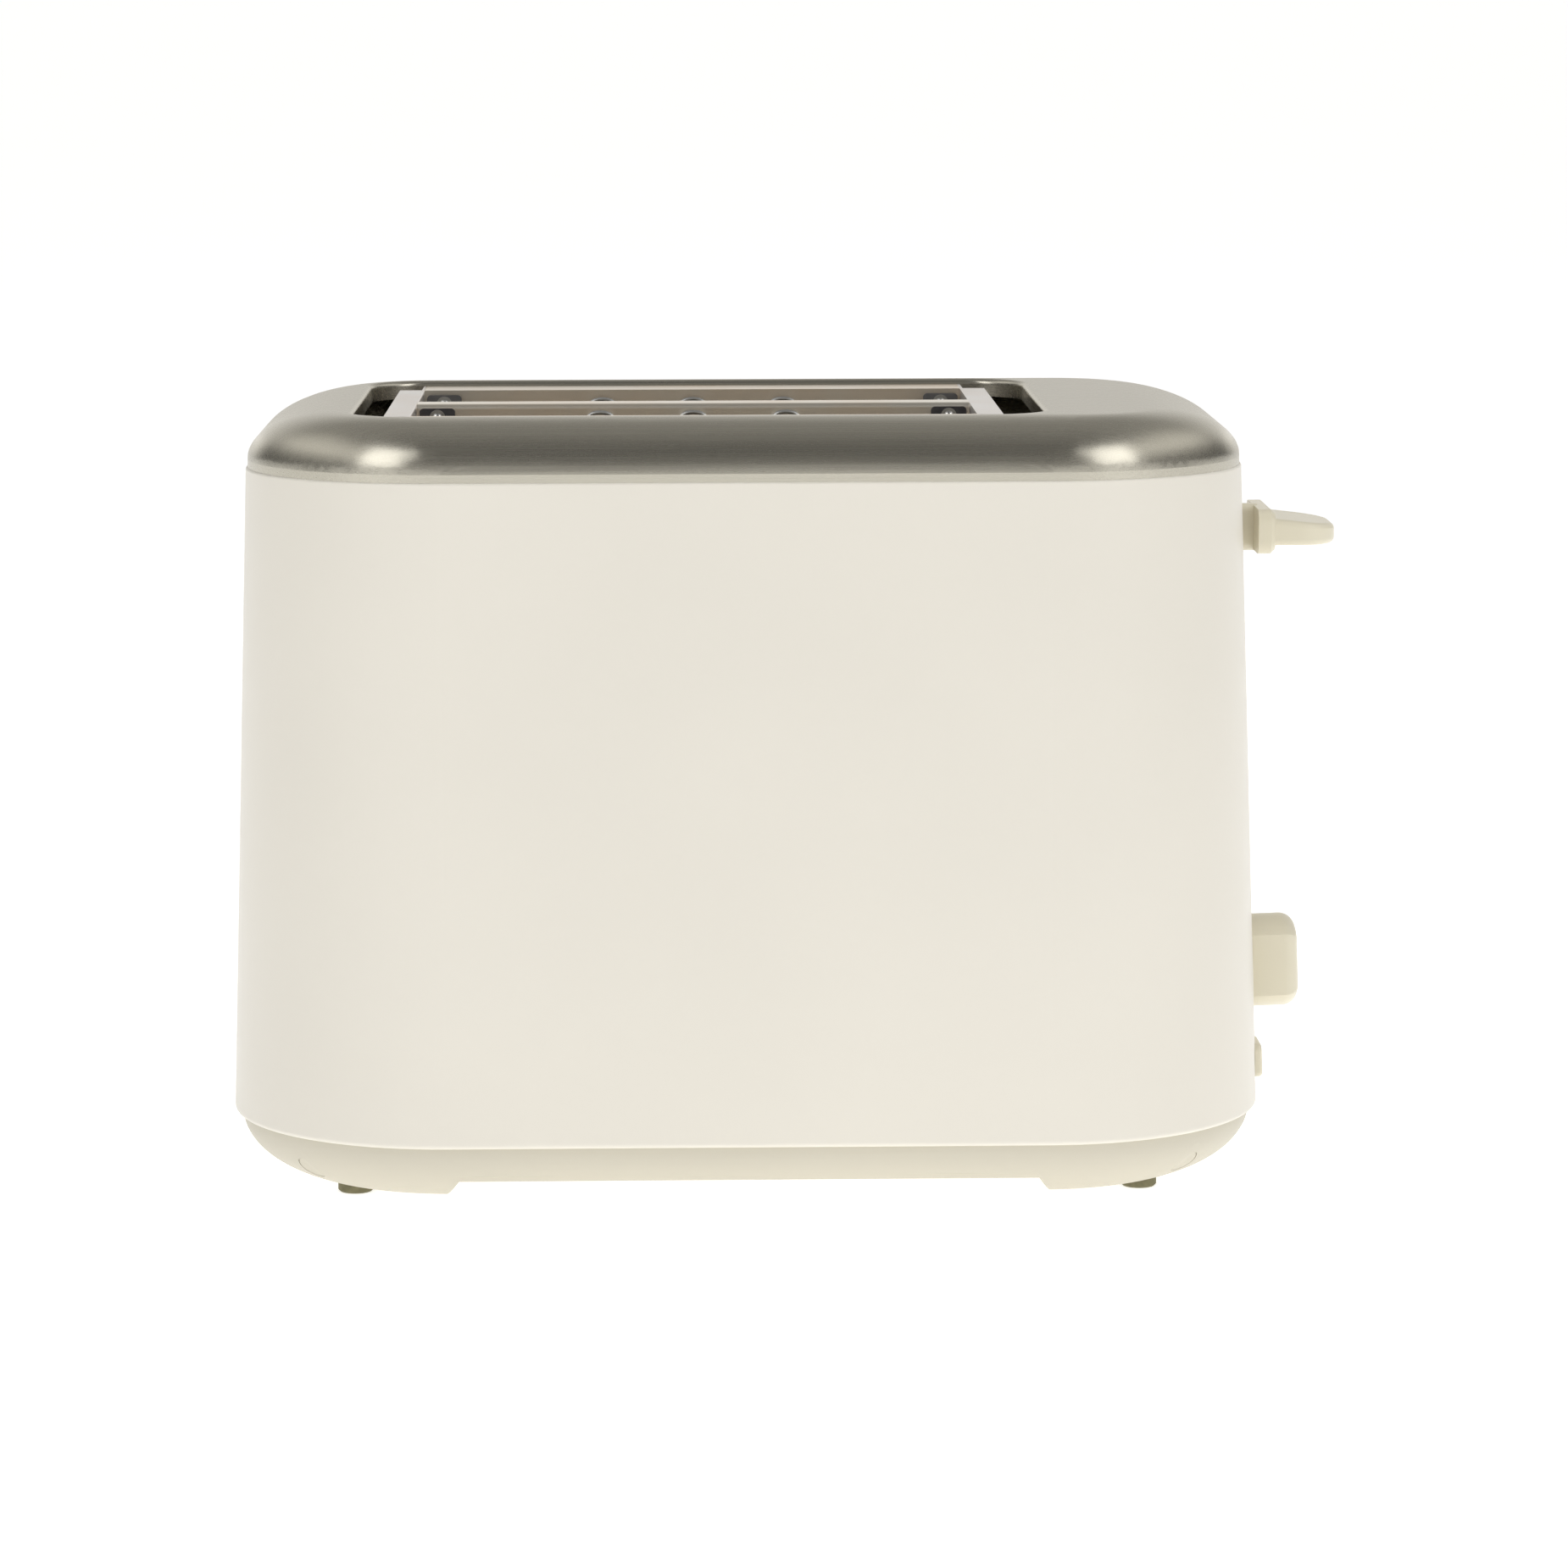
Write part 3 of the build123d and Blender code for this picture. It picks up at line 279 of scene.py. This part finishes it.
for subpart in record["subparts"]:
    finish_with(nodes[subpart["node"]], subpart["material_slot"])
for name in ("reflector_front", "reflector_rear", "divider_cap"):
    finish_with(nodes[name], "heated_sheet")


# ---------------------------------------------------------------------------------------------------------
# Mesh helpers for the added pieces
# ---------------------------------------------------------------------------------------------------------
# sides of a thin wire or a printed line
WIRE_SIDES = 8


def piece(name, body, slot_name, build, smooth=True):
    """A new mesh piece: build fills its bmesh, it takes a finish and rides on a body."""
    mesh = bpy.data.meshes.new(name)
    shape = bmesh.new()
    build(shape)
    bmesh.ops.recalc_face_normals(shape, faces=shape.faces)
    shape.to_mesh(mesh)
    shape.free()
    for polygon in mesh.polygons:
        polygon.use_smooth = smooth
    obj = bpy.data.objects.new(name, mesh)
    bpy.context.scene.collection.objects.link(obj)
    finish_with(obj, slot_name)
    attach(obj, body)
    return obj


def lathe(shape, profile, place, steps):
    """Adds a solid of revolution. The profile is (radius, height) from pole to pole, along place's Z."""
    rings = []
    for radius, height in profile:
        if radius == 0:
            rings.append([shape.verts.new(place @ Vector((0, 0, height)))])
            continue
        turn = [2 * math.pi * i / steps for i in range(steps)]
        ring = [place @ Vector((radius * math.cos(a), radius * math.sin(a), height)) for a in turn]
        rings.append([shape.verts.new(point) for point in ring])
    for low, high in zip(rings, rings[1:]):
        for i in range(steps):
            j = (i + 1) % steps
            corners = [low[i % len(low)], low[j % len(low)], high[j % len(high)], high[i % len(high)]]
            corners = list(dict.fromkeys(corners))
            if len(corners) > 2:
                shape.faces.new(corners)


def tube(shape, points, radius, sides):
    """Adds a round tube through points, with flat ends."""
    rings = []
    side = None
    for i, point in enumerate(points):
        before = points[max(i - 1, 0)]
        after = points[min(i + 1, len(points) - 1)]
        along = (after - before).normalized()
        if side is None:
            side = along.orthogonal().normalized()
        side = (side - along * side.dot(along)).normalized()
        up = along.cross(side)
        turn = [2 * math.pi * k / sides for k in range(sides)]
        ring = [point + (side * math.cos(a) + up * math.sin(a)) * radius for a in turn]
        rings.append([shape.verts.new(p) for p in ring])
    for low, high in zip(rings, rings[1:]):
        for k in range(sides):
            m = (k + 1) % sides
            shape.faces.new((low[k], low[m], high[m], high[k]))
    shape.faces.new(rings[0])
    shape.faces.new(rings[-1])


def facing(point, direction):
    """A placement at a point whose Z runs along a direction."""
    return Matrix.Translation(point) @ direction.to_track_quat("Z", "Y").to_matrix().to_4x4()


# ---------------------------------------------------------------------------------------------------------
# Carriage spring: a real coil of wire in place of the spring's part
# ---------------------------------------------------------------------------------------------------------
spring_low, spring_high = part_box("carriage_spring")
spring_centre = (spring_low + spring_high) / 2
SPRING_WIRE = 0.5 * MM
SPRING_TURNS = 15
STEPS_PER_TURN = 28


def spring_coil(shape):
    """A helix of wire as wide and as long as the spring's box."""
    radius = (spring_high.x - spring_low.x) / 2 - SPRING_WIRE
    steps = SPRING_TURNS * STEPS_PER_TURN
    low, high = spring_low.z + SPRING_WIRE, spring_high.z - SPRING_WIRE
    points = []
    for i in range(steps + 1):
        share = i / steps
        angle = 2 * math.pi * SPRING_TURNS * share
        flat = Vector((radius * math.cos(angle), radius * math.sin(angle), 0))
        points.append(Vector((spring_centre.x, spring_centre.y, low + (high - low) * share)) + flat)
    tube(shape, points, SPRING_WIRE, WIRE_SIDES)


coil = piece("return_coil", "root", "zinc_steel", spring_coil)
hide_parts("carriage_spring")
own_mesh(coil)

# ---------------------------------------------------------------------------------------------------------
# Bread guards: wire loops over the top rail, and riveted clips at the ends
# ---------------------------------------------------------------------------------------------------------
GUARD_WIRE = 0.8 * MM
LOOP_PITCH = 23.5 * MM
LOOP_WIDTH = 6.6 * MM
LOOP_RISE = 3.0 * MM
LOOP_WIRE = 0.55 * MM
LOOP_STEPS = 12
CLIP_FROM_END = 5.2 * MM
CLIP_SIZE = (9 * MM, 4.6 * MM)
CLIP_SHEET = 0.4 * MM
CLIP_CORNER = 1.0 * MM
CLIP_ABOVE_RAIL = 0.9 * MM
WASHER_RADIUS = 2.0 * MM
WASHER_THICKNESS = 0.15 * MM
RIVET_RADIUS = 1.2 * MM
RIVET_EDGE = 0.2 * MM
RIVET_CROWN = 0.7 * MM
FASTENER_STEPS = 24
QUARTER_STEPS = 6

divider_low, divider_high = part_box("divider_cap")
outer_wall = {"front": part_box("reflector_front")[1].y, "rear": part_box("reflector_rear")[0].y}
inner_wall = {"front": divider_low.y, "rear": divider_high.y}


def guard_loops(guard_low, guard_high):
    """Arches of wire that stand on a guard's top rail."""
    middle = (guard_low + guard_high) / 2
    rail = guard_high.z - GUARD_WIRE

    def build(shape):
        for step in (-1, 0, 1):
            x = middle.x + step * LOOP_PITCH
            arch = []
            for turn in range(LOOP_STEPS + 1):
                angle = math.pi * (1 - turn / LOOP_STEPS)
                lift = LOOP_RISE * math.sin(angle) ** 0.5
                arch.append(Vector((x + LOOP_WIDTH / 2 * math.cos(angle), middle.y, rail + lift)))
            tube(shape, arch, LOOP_WIRE, WIRE_SIDES)

    return build


def clip_plate(shape, centre, outward):
    """A thin rounded rectangle that faces along Y, its back at the centre's Y."""
    half_x, half_z = CLIP_SIZE[0] / 2 - CLIP_CORNER, CLIP_SIZE[1] / 2 - CLIP_CORNER
    outline = []
    for quarter, (sx, sz) in enumerate(((1, 1), (-1, 1), (-1, -1), (1, -1))):
        for step in range(QUARTER_STEPS + 1):
            angle = math.pi / 2 * (quarter + step / QUARTER_STEPS)
            reach = Vector((math.cos(angle), 0, math.sin(angle))) * CLIP_CORNER
            outline.append(centre + Vector((sx * half_x, 0, sz * half_z)) + reach)
    back = [shape.verts.new(point) for point in outline]
    front = [shape.verts.new(point + Vector((0, outward * CLIP_SHEET, 0))) for point in outline]
    for i in range(len(outline)):
        j = (i + 1) % len(outline)
        shape.faces.new((back[i], back[j], front[j], front[i]))
    shape.faces.new(back)
    shape.faces.new(front)


def clip_spots(guard_high, wall_y):
    """Centres of a guard's two clips, on its slot's wall."""
    height = guard_high.z + CLIP_ABOVE_RAIL
    for x in (divider_low.x + CLIP_FROM_END, divider_high.x - CLIP_FROM_END):
        yield Vector((x, wall_y, height))


WASHER_PROFILE = ((0, 0), (WASHER_RADIUS, 0), (WASHER_RADIUS, WASHER_THICKNESS), (0, WASHER_THICKNESS))


def rivet_profile():
    """A domed head: its edge, then a quarter of an ellipse up to the crown."""
    profile = [(0, 0), (RIVET_RADIUS, 0)]
    for step in range(1, QUARTER_STEPS):
        angle = math.pi / 2 * step / QUARTER_STEPS
        profile.append((RIVET_RADIUS * math.cos(angle), RIVET_EDGE + RIVET_CROWN * math.sin(angle)))
    return profile + [(0, RIVET_EDGE + RIVET_CROWN)]


for side in ("front", "rear"):
    for wall_name, wall_y in (("inner", inner_wall[side]), ("outer", outer_wall[side])):
        guard_name = f"{side}_{wall_name}"
        guard_low, guard_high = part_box(f"bread_guard_{guard_name}")
        outward = 1 if (guard_low.y + guard_high.y) / 2 > wall_y else -1
        piece(f"guard_loops_{guard_name}", "root", "zinc_steel", guard_loops(guard_low, guard_high))

        def clips(shape):
            for spot in clip_spots(guard_high, wall_y):
                clip_plate(shape, spot, outward)

        def on_clips(profile):
            """Solids of revolution with this profile, one on each clip."""

            def build(shape):
                for spot in clip_spots(guard_high, wall_y):
                    place = facing(spot + Vector((0, outward * CLIP_SHEET, 0)), Vector((0, outward, 0)))
                    lathe(shape, profile, place, FASTENER_STEPS)

            return build

        piece(f"guard_clips_{guard_name}", "root", "dark_steel", clips, False)
        piece(f"guard_washers_{guard_name}", "root", "zinc_steel", on_clips(WASHER_PROFILE), False)
        piece(f"guard_rivets_{guard_name}", "root", "steel_wire", on_clips(rivet_profile()))

# ---------------------------------------------------------------------------------------------------------
# Control end: scale and numbers round the dial, pointer, and icons on the buttons
# ---------------------------------------------------------------------------------------------------------
SCALE_RADIUS = 16.6 * MM
SCALE_LENGTH = 1.8 * MM
NUMBER_RADIUS = 20.6 * MM
NUMBER_SIZE = 3.6 * MM
PRINT_RISE = 0.1 * MM
SHADES = 7
SHADE_STEP = 40
POINTER_ENDS = (2.0 * MM, 7.0 * MM)
POINTER_LINE = 0.45 * MM
POINTER_SIDES = 12
PRINT_LINE = 0.22 * MM
CROSS_REACH = 1.5 * MM
STEAM_COLUMNS = (-1.5 * MM, 0, 1.5 * MM)
STEAM_REACH = 2.0 * MM
STEAM_STEPS = 16
STEAM_SWAY = 0.4 * MM
STEAM_WAVE = 2.2 / MM
FROST_ARM = 2.2 * MM
FROST_KNEE = 1.4 * MM
FROST_TIP = 2.0 * MM
FROST_SPREAD = 22

control_origin = Vector(joints["dial_turn"]["pos_m"])
outward_axis = Vector(joints["dial_turn"]["axis"]).normalized()
across = Vector((0, 1, 0))
upward = outward_axis.cross(across)


def on_face(right, up, out):
    """A point on the control face, from the dial's centre: right and up as seen from outside."""
    return control_origin + across * right + upward * up + outward_axis * out


def shade_angles():
    """The dial's settings as angles from straight up."""
    return [math.radians(SHADE_STEP * (i - (SHADES - 1) / 2)) for i in range(SHADES)]


def scale_marks(shape):
    """A short line for each setting of the dial."""
    for angle in shade_angles():
        ends = [
            on_face(r * math.sin(angle), r * math.cos(angle), 0)
            for r in (SCALE_RADIUS, SCALE_RADIUS + SCALE_LENGTH)
        ]
        tube(shape, ends, PRINT_LINE, WIRE_SIDES)


def number(text, place):
    """A printed number as a mesh: X of its place to the right, Y up, Z outward."""
    curve = bpy.data.curves.new("number_" + text, "FONT")
    curve.body = text
    curve.size = NUMBER_SIZE
    curve.align_x = "CENTER"
    curve.align_y = "CENTER"
    curve.extrude = PRINT_RISE / 2
    obj = bpy.data.objects.new("dial_number_" + text, curve)
    bpy.context.scene.collection.objects.link(obj)
    obj.matrix_world = place
    bpy.context.view_layer.update()
    mesh = bpy.data.meshes.new_from_object(obj)
    mesh.transform(place)
    bpy.data.objects.remove(obj)
    solid = bpy.data.objects.new("dial_number_" + text, mesh)
    bpy.context.scene.collection.objects.link(solid)
    finish_with(solid, "grey_print")
    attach(solid, "root")


piece("dial_scale", "root", "grey_print", scale_marks)
face_axes = Matrix((across, upward, outward_axis)).transposed().to_4x4()
for position, angle in enumerate(shade_angles(), 1):
    centre = on_face(NUMBER_RADIUS * math.sin(angle), NUMBER_RADIUS * math.cos(angle), 0)
    number(str(position), Matrix.Translation(centre) @ face_axes)


def face_height(node):
    """How far a node's outer face stands off the control face."""
    return max((vertex.co - control_origin).dot(outward_axis) for vertex in nodes[node].data.vertices)


def dial_pointer(shape):
    """A line from near the dial's centre to near its edge."""
    top = face_height("browning_dial")
    tube(shape, [on_face(0, up, top) for up in POINTER_ENDS], POINTER_LINE, POINTER_SIDES)


piece("dial_pointer", "dial", "grey_print", dial_pointer)


def cross_icon(put):
    """Two crossed lines."""
    low, high = -CROSS_REACH, CROSS_REACH
    return [[put(low, low), put(high, high)], [put(low, high), put(high, low)]]


def steam_icon(put):
    """Three rising waves."""
    heights = [STEAM_REACH * (2 * i / STEAM_STEPS - 1) for i in range(STEAM_STEPS + 1)]
    return [[put(x + STEAM_SWAY * math.sin(h * STEAM_WAVE), h) for h in heights] for x in STEAM_COLUMNS]


def frost_icon(put):
    """A snowflake: six arms, each with two twigs."""

    def at(radius, angle):
        return put(radius * math.cos(angle), radius * math.sin(angle))

    lines = []
    for arm in range(6):
        angle = math.radians(60 * arm + 30)
        lines.append([put(0, 0), at(FROST_ARM, angle)])
        for bend in (-1, 1):
            lines.append([at(FROST_KNEE, angle), at(FROST_TIP, angle + bend * math.radians(FROST_SPREAD))])
    return lines


for button, icon in (("cancel", cross_icon), ("reheat", steam_icon), ("defrost", frost_icon)):
    low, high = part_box(f"button_{button}")
    right = (low.y + high.y) / 2
    up = ((low.z + high.z) / 2 - control_origin.z) / upward.z
    top = face_height(f"button_{button}")

    def icon_lines(shape):
        for line in icon(lambda a, b: on_face(right + a, up + b, top)):
            tube(shape, line, PRINT_LINE, WIRE_SIDES)

    piece(f"icon_{button}", f"button_{button}_body", "grey_print", icon_lines)

# ---------------------------------------------------------------------------------------------------------
# Plugs that close the screw holes under the base, flush with its bowl
# ---------------------------------------------------------------------------------------------------------
SCREW_HEAD_RADIUS = 2.8 * MM
PLUG_RADIUS = 3.12 * MM
# the bowl's height is taken this far from a screw's axis, clear of its hole
PLUG_RIM = 3.5 * MM
PLUG_DEPTH = 1.6 * MM
PLUG_EDGE_SUNK = 0.12 * MM
PLUG_RINGS = (1.0, 0.92, 0.6, 0.3)
PLUG_STEPS = 40
BELOW_BASE = -0.05

base_shape = bmesh.new()
base_shape.from_mesh(nodes["base"].data)
base_tree = BVHTree.FromBMesh(base_shape)
base_shape.free()
screw_low, screw_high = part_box("base_screws")
screw_spots = [
    (x, y)
    for x in (screw_low.x + SCREW_HEAD_RADIUS, screw_high.x - SCREW_HEAD_RADIUS)
    for y in (screw_low.y + SCREW_HEAD_RADIUS, screw_high.y - SCREW_HEAD_RADIUS)
]


def bowl_height(x, y):
    """Where the underside of the base is, straight up from below it."""
    return base_tree.ray_cast(Vector((x, y, BELOW_BASE)), Vector((0, 0, 1)))[0].z


def screw_plugs(shape):
    """A plug for each screw hole, its face sloped as the bowl is there and its edge slightly sunk."""
    for x, y in screw_spots:
        turns = [2 * math.pi * i / PLUG_STEPS for i in range(PLUG_STEPS)]
        heights = [bowl_height(x + PLUG_RIM * math.cos(t), y + PLUG_RIM * math.sin(t)) for t in turns]
        centre = sum(heights) / PLUG_STEPS
        rings = []
        for share in PLUG_RINGS:
            radius = PLUG_RADIUS * share
            sunk = PLUG_EDGE_SUNK if share == 1 else 0
            ring = []
            for t, height in zip(turns, heights):
                z = centre + (height - centre) * radius / PLUG_RIM + sunk
                ring.append(shape.verts.new((x + radius * math.cos(t), y + radius * math.sin(t), z)))
            rings.append(ring)
        top = [shape.verts.new(v.co + Vector((0, 0, PLUG_DEPTH))) for v in rings[0]]
        for lower, upper in zip([top] + rings, rings):
            for i in range(PLUG_STEPS):
                j = (i + 1) % PLUG_STEPS
                shape.faces.new((lower[i], lower[j], upper[j], upper[i]))
        shape.faces.new(rings[-1])
        shape.faces.new(top)


piece("screw_plugs", "root", "beige_base", screw_plugs)

# ---------------------------------------------------------------------------------------------------------
# Camera, floor and light
# ---------------------------------------------------------------------------------------------------------
CAMERA_DISTANCE = 1.3438
CAMERA_HEIGHT = 0.3038
CAMERA_LENS = 121.33
CAMERA_SENSOR = 36.0
CAMERA_PITCH = 8.79
CAMERA_ROLL = -0.141
CAMERA_SWING = -1.2
FLOOR_REACH = 60.0
FLOOR_GLOW = 0.66
LIGHTS_AIM = Vector((0, 0, 0.1))
KEY_PLACE = (-1.2, -1.45, 1.35)
FILL_PLACE = (1.3, -1.4, 1.25)

camera_data = bpy.data.cameras.new("camera")
camera_data.lens = CAMERA_LENS
camera_data.sensor_width = CAMERA_SENSOR
camera = bpy.data.objects.new("camera", camera_data)
bpy.context.scene.collection.objects.link(camera)
swung = Matrix.Rotation(math.radians(CAMERA_SWING), 4, "Z")
placed = Matrix.Translation((0, -CAMERA_DISTANCE, CAMERA_HEIGHT))
pitched = Matrix.Rotation(math.radians(90 - CAMERA_PITCH), 4, "X")
rolled = Matrix.Rotation(math.radians(CAMERA_ROLL), 4, "Z")
camera.matrix_world = swung @ placed @ pitched @ rolled
bpy.context.scene.camera = camera
bpy.context.scene.view_settings.view_transform = "Standard"


def floor_plane():
    """A wide pale floor that glows faintly, so that it stays near white."""
    mesh = bpy.data.meshes.new("floor")
    corners = [(x * FLOOR_REACH, y * FLOOR_REACH, 0) for x, y in ((-1, -1), (1, -1), (1, 1), (-1, 1))]
    mesh.from_pydata(corners, [], [(0, 1, 2, 3)])
    floor = bpy.data.objects.new("floor", mesh)
    bpy.context.scene.collection.objects.link(floor)
    surface = Finish("floor_paper", roughness=0.9, Specular_IOR_Level=0.1)
    mottle = surface.noise(scale=3.0, detail=4.0)
    surface.colour(mottle, (0.3, (0.93, 0.93, 0.925)), (0.7, (0.95, 0.95, 0.945)))
    surface.shader.inputs["Emission Color"].default_value = (1, 1, 1, 1)
    surface.shader.inputs["Emission Strength"].default_value = FLOOR_GLOW
    mesh.materials.append(surface.material)


def soft_light(name, place, size, power, mirrored=True, lighting=True):
    """An area light aimed at the toaster. Glossy surfaces show it if mirrored, dull ones if lighting."""
    data = bpy.data.lights.new(name, "AREA")
    data.shape = "RECTANGLE"
    data.size, data.size_y = size
    data.energy = power
    light = bpy.data.objects.new(name, data)
    bpy.context.scene.collection.objects.link(light)
    light.visible_glossy = mirrored
    light.visible_diffuse = lighting
    aim = (LIGHTS_AIM - Vector(place)).to_track_quat("-Z", "Y")
    light.matrix_world = Matrix.Translation(place) @ aim.to_matrix().to_4x4()


# brightness of the studio at each angle from the front horizon (0) over the top (90) to the back (180)
SKY = (
    (0, 0.26), (14, 0.24), (30, 0.16), (55, 0.12), (80, 0.20),
    (110, 0.30), (140, 0.34), (160, 0.72), (172, 1.0), (180, 1.0),
)
# brightness of the studio's side walls at each height, as the sine of the elevation
SIDES = ((0.0, 0.05), (0.25, 0.08), (0.5, 0.85), (0.75, 0.80), (0.95, 0.30))
# how far sideways a direction points where the side walls begin to show, and where they show alone
SIDE_START = 0.45
SIDE_FULL = 0.80
WARM_GREY = (1.0, 0.985, 0.955)


def grey_ramp(tree, fac, stops, span):
    """A grey ramp through (place, brightness) stops, with places given over a span."""
    ramp = tree.nodes.new("ShaderNodeValToRGB")
    tree.links.new(fac, ramp.inputs["Fac"])
    elements = ramp.color_ramp.elements
    while len(elements) < len(stops):
        elements.new(0.5)
    for element, (place, grey) in zip(elements, stops):
        element.position = place / span
        element.color = (*shade(WARM_GREY, grey), 1.0)
    return ramp.outputs["Color"]


def studio_sky():
    """The studio that metal mirrors: an arch from front to back and two side walls. The eye sees white."""
    world = bpy.data.worlds.new("studio")
    bpy.context.scene.world = world
    world.use_nodes = True
    tree = world.node_tree
    background = tree.nodes["Background"]
    split = tree.nodes.new("ShaderNodeSeparateXYZ")
    tree.links.new(tree.nodes.new("ShaderNodeTexCoord").outputs["Generated"], split.inputs["Vector"])

    def calculate(operation, *values):
        """A Math node on numbers or sockets."""
        node = tree.nodes.new("ShaderNodeMath")
        node.operation = operation
        for socket, value in zip(node.inputs, values):
            if isinstance(value, (int, float)):
                socket.default_value = value
            else:
                tree.links.new(value, socket)
        return node.outputs["Value"]

    turn = calculate("ARCTAN2", split.outputs["Z"], calculate("MULTIPLY", split.outputs["Y"], -1.0))
    arch = grey_ramp(tree, calculate("DIVIDE", turn, math.pi), SKY, 180)
    walls = grey_ramp(tree, split.outputs["Z"], SIDES, 1)
    sideways = tree.nodes.new("ShaderNodeMapRange")
    sideways.interpolation_type = "SMOOTHSTEP"
    sideways.inputs["From Min"].default_value = SIDE_START
    sideways.inputs["From Max"].default_value = SIDE_FULL
    tree.links.new(calculate("ABSOLUTE", split.outputs["X"]), sideways.inputs["Value"])
    blend = tree.nodes.new("ShaderNodeMix")
    blend.data_type = "RGBA"
    tree.links.new(sideways.outputs["Result"], blend.inputs["Factor"])
    tree.links.new(arch, blend.inputs["A"])
    tree.links.new(walls, blend.inputs["B"])
    tree.links.new(blend.outputs["Result"], background.inputs["Color"])

    white = tree.nodes.new("ShaderNodeBackground")
    white.inputs["Color"].default_value = (1, 1, 1, 1)
    mix = tree.nodes.new("ShaderNodeMixShader")
    tree.links.new(tree.nodes.new("ShaderNodeLightPath").outputs["Is Camera Ray"], mix.inputs["Fac"])
    tree.links.new(background.outputs["Background"], mix.inputs[1])
    tree.links.new(white.outputs["Background"], mix.inputs[2])
    tree.links.new(mix.outputs["Shader"], tree.nodes["World Output"].inputs["Surface"])


floor_plane()
studio_sky()
soft_light("key", KEY_PLACE, (0.8, 1.6), 7.0)
soft_light("key_glint", KEY_PLACE, (1.0, 1.6), 3.6, lighting=False)
soft_light("fill", FILL_PLACE, (0.75, 1.5), 5.8)
soft_light("fill_glint", FILL_PLACE, (1.0, 1.5), 5.0, lighting=False)
soft_light("front", (0.0, -3.2, 0.9), (2.4, 1.6), 4.6, mirrored=False)
soft_light("top", (0.3, -0.2, 1.7), (1.2, 1.0), 9.0, mirrored=False)
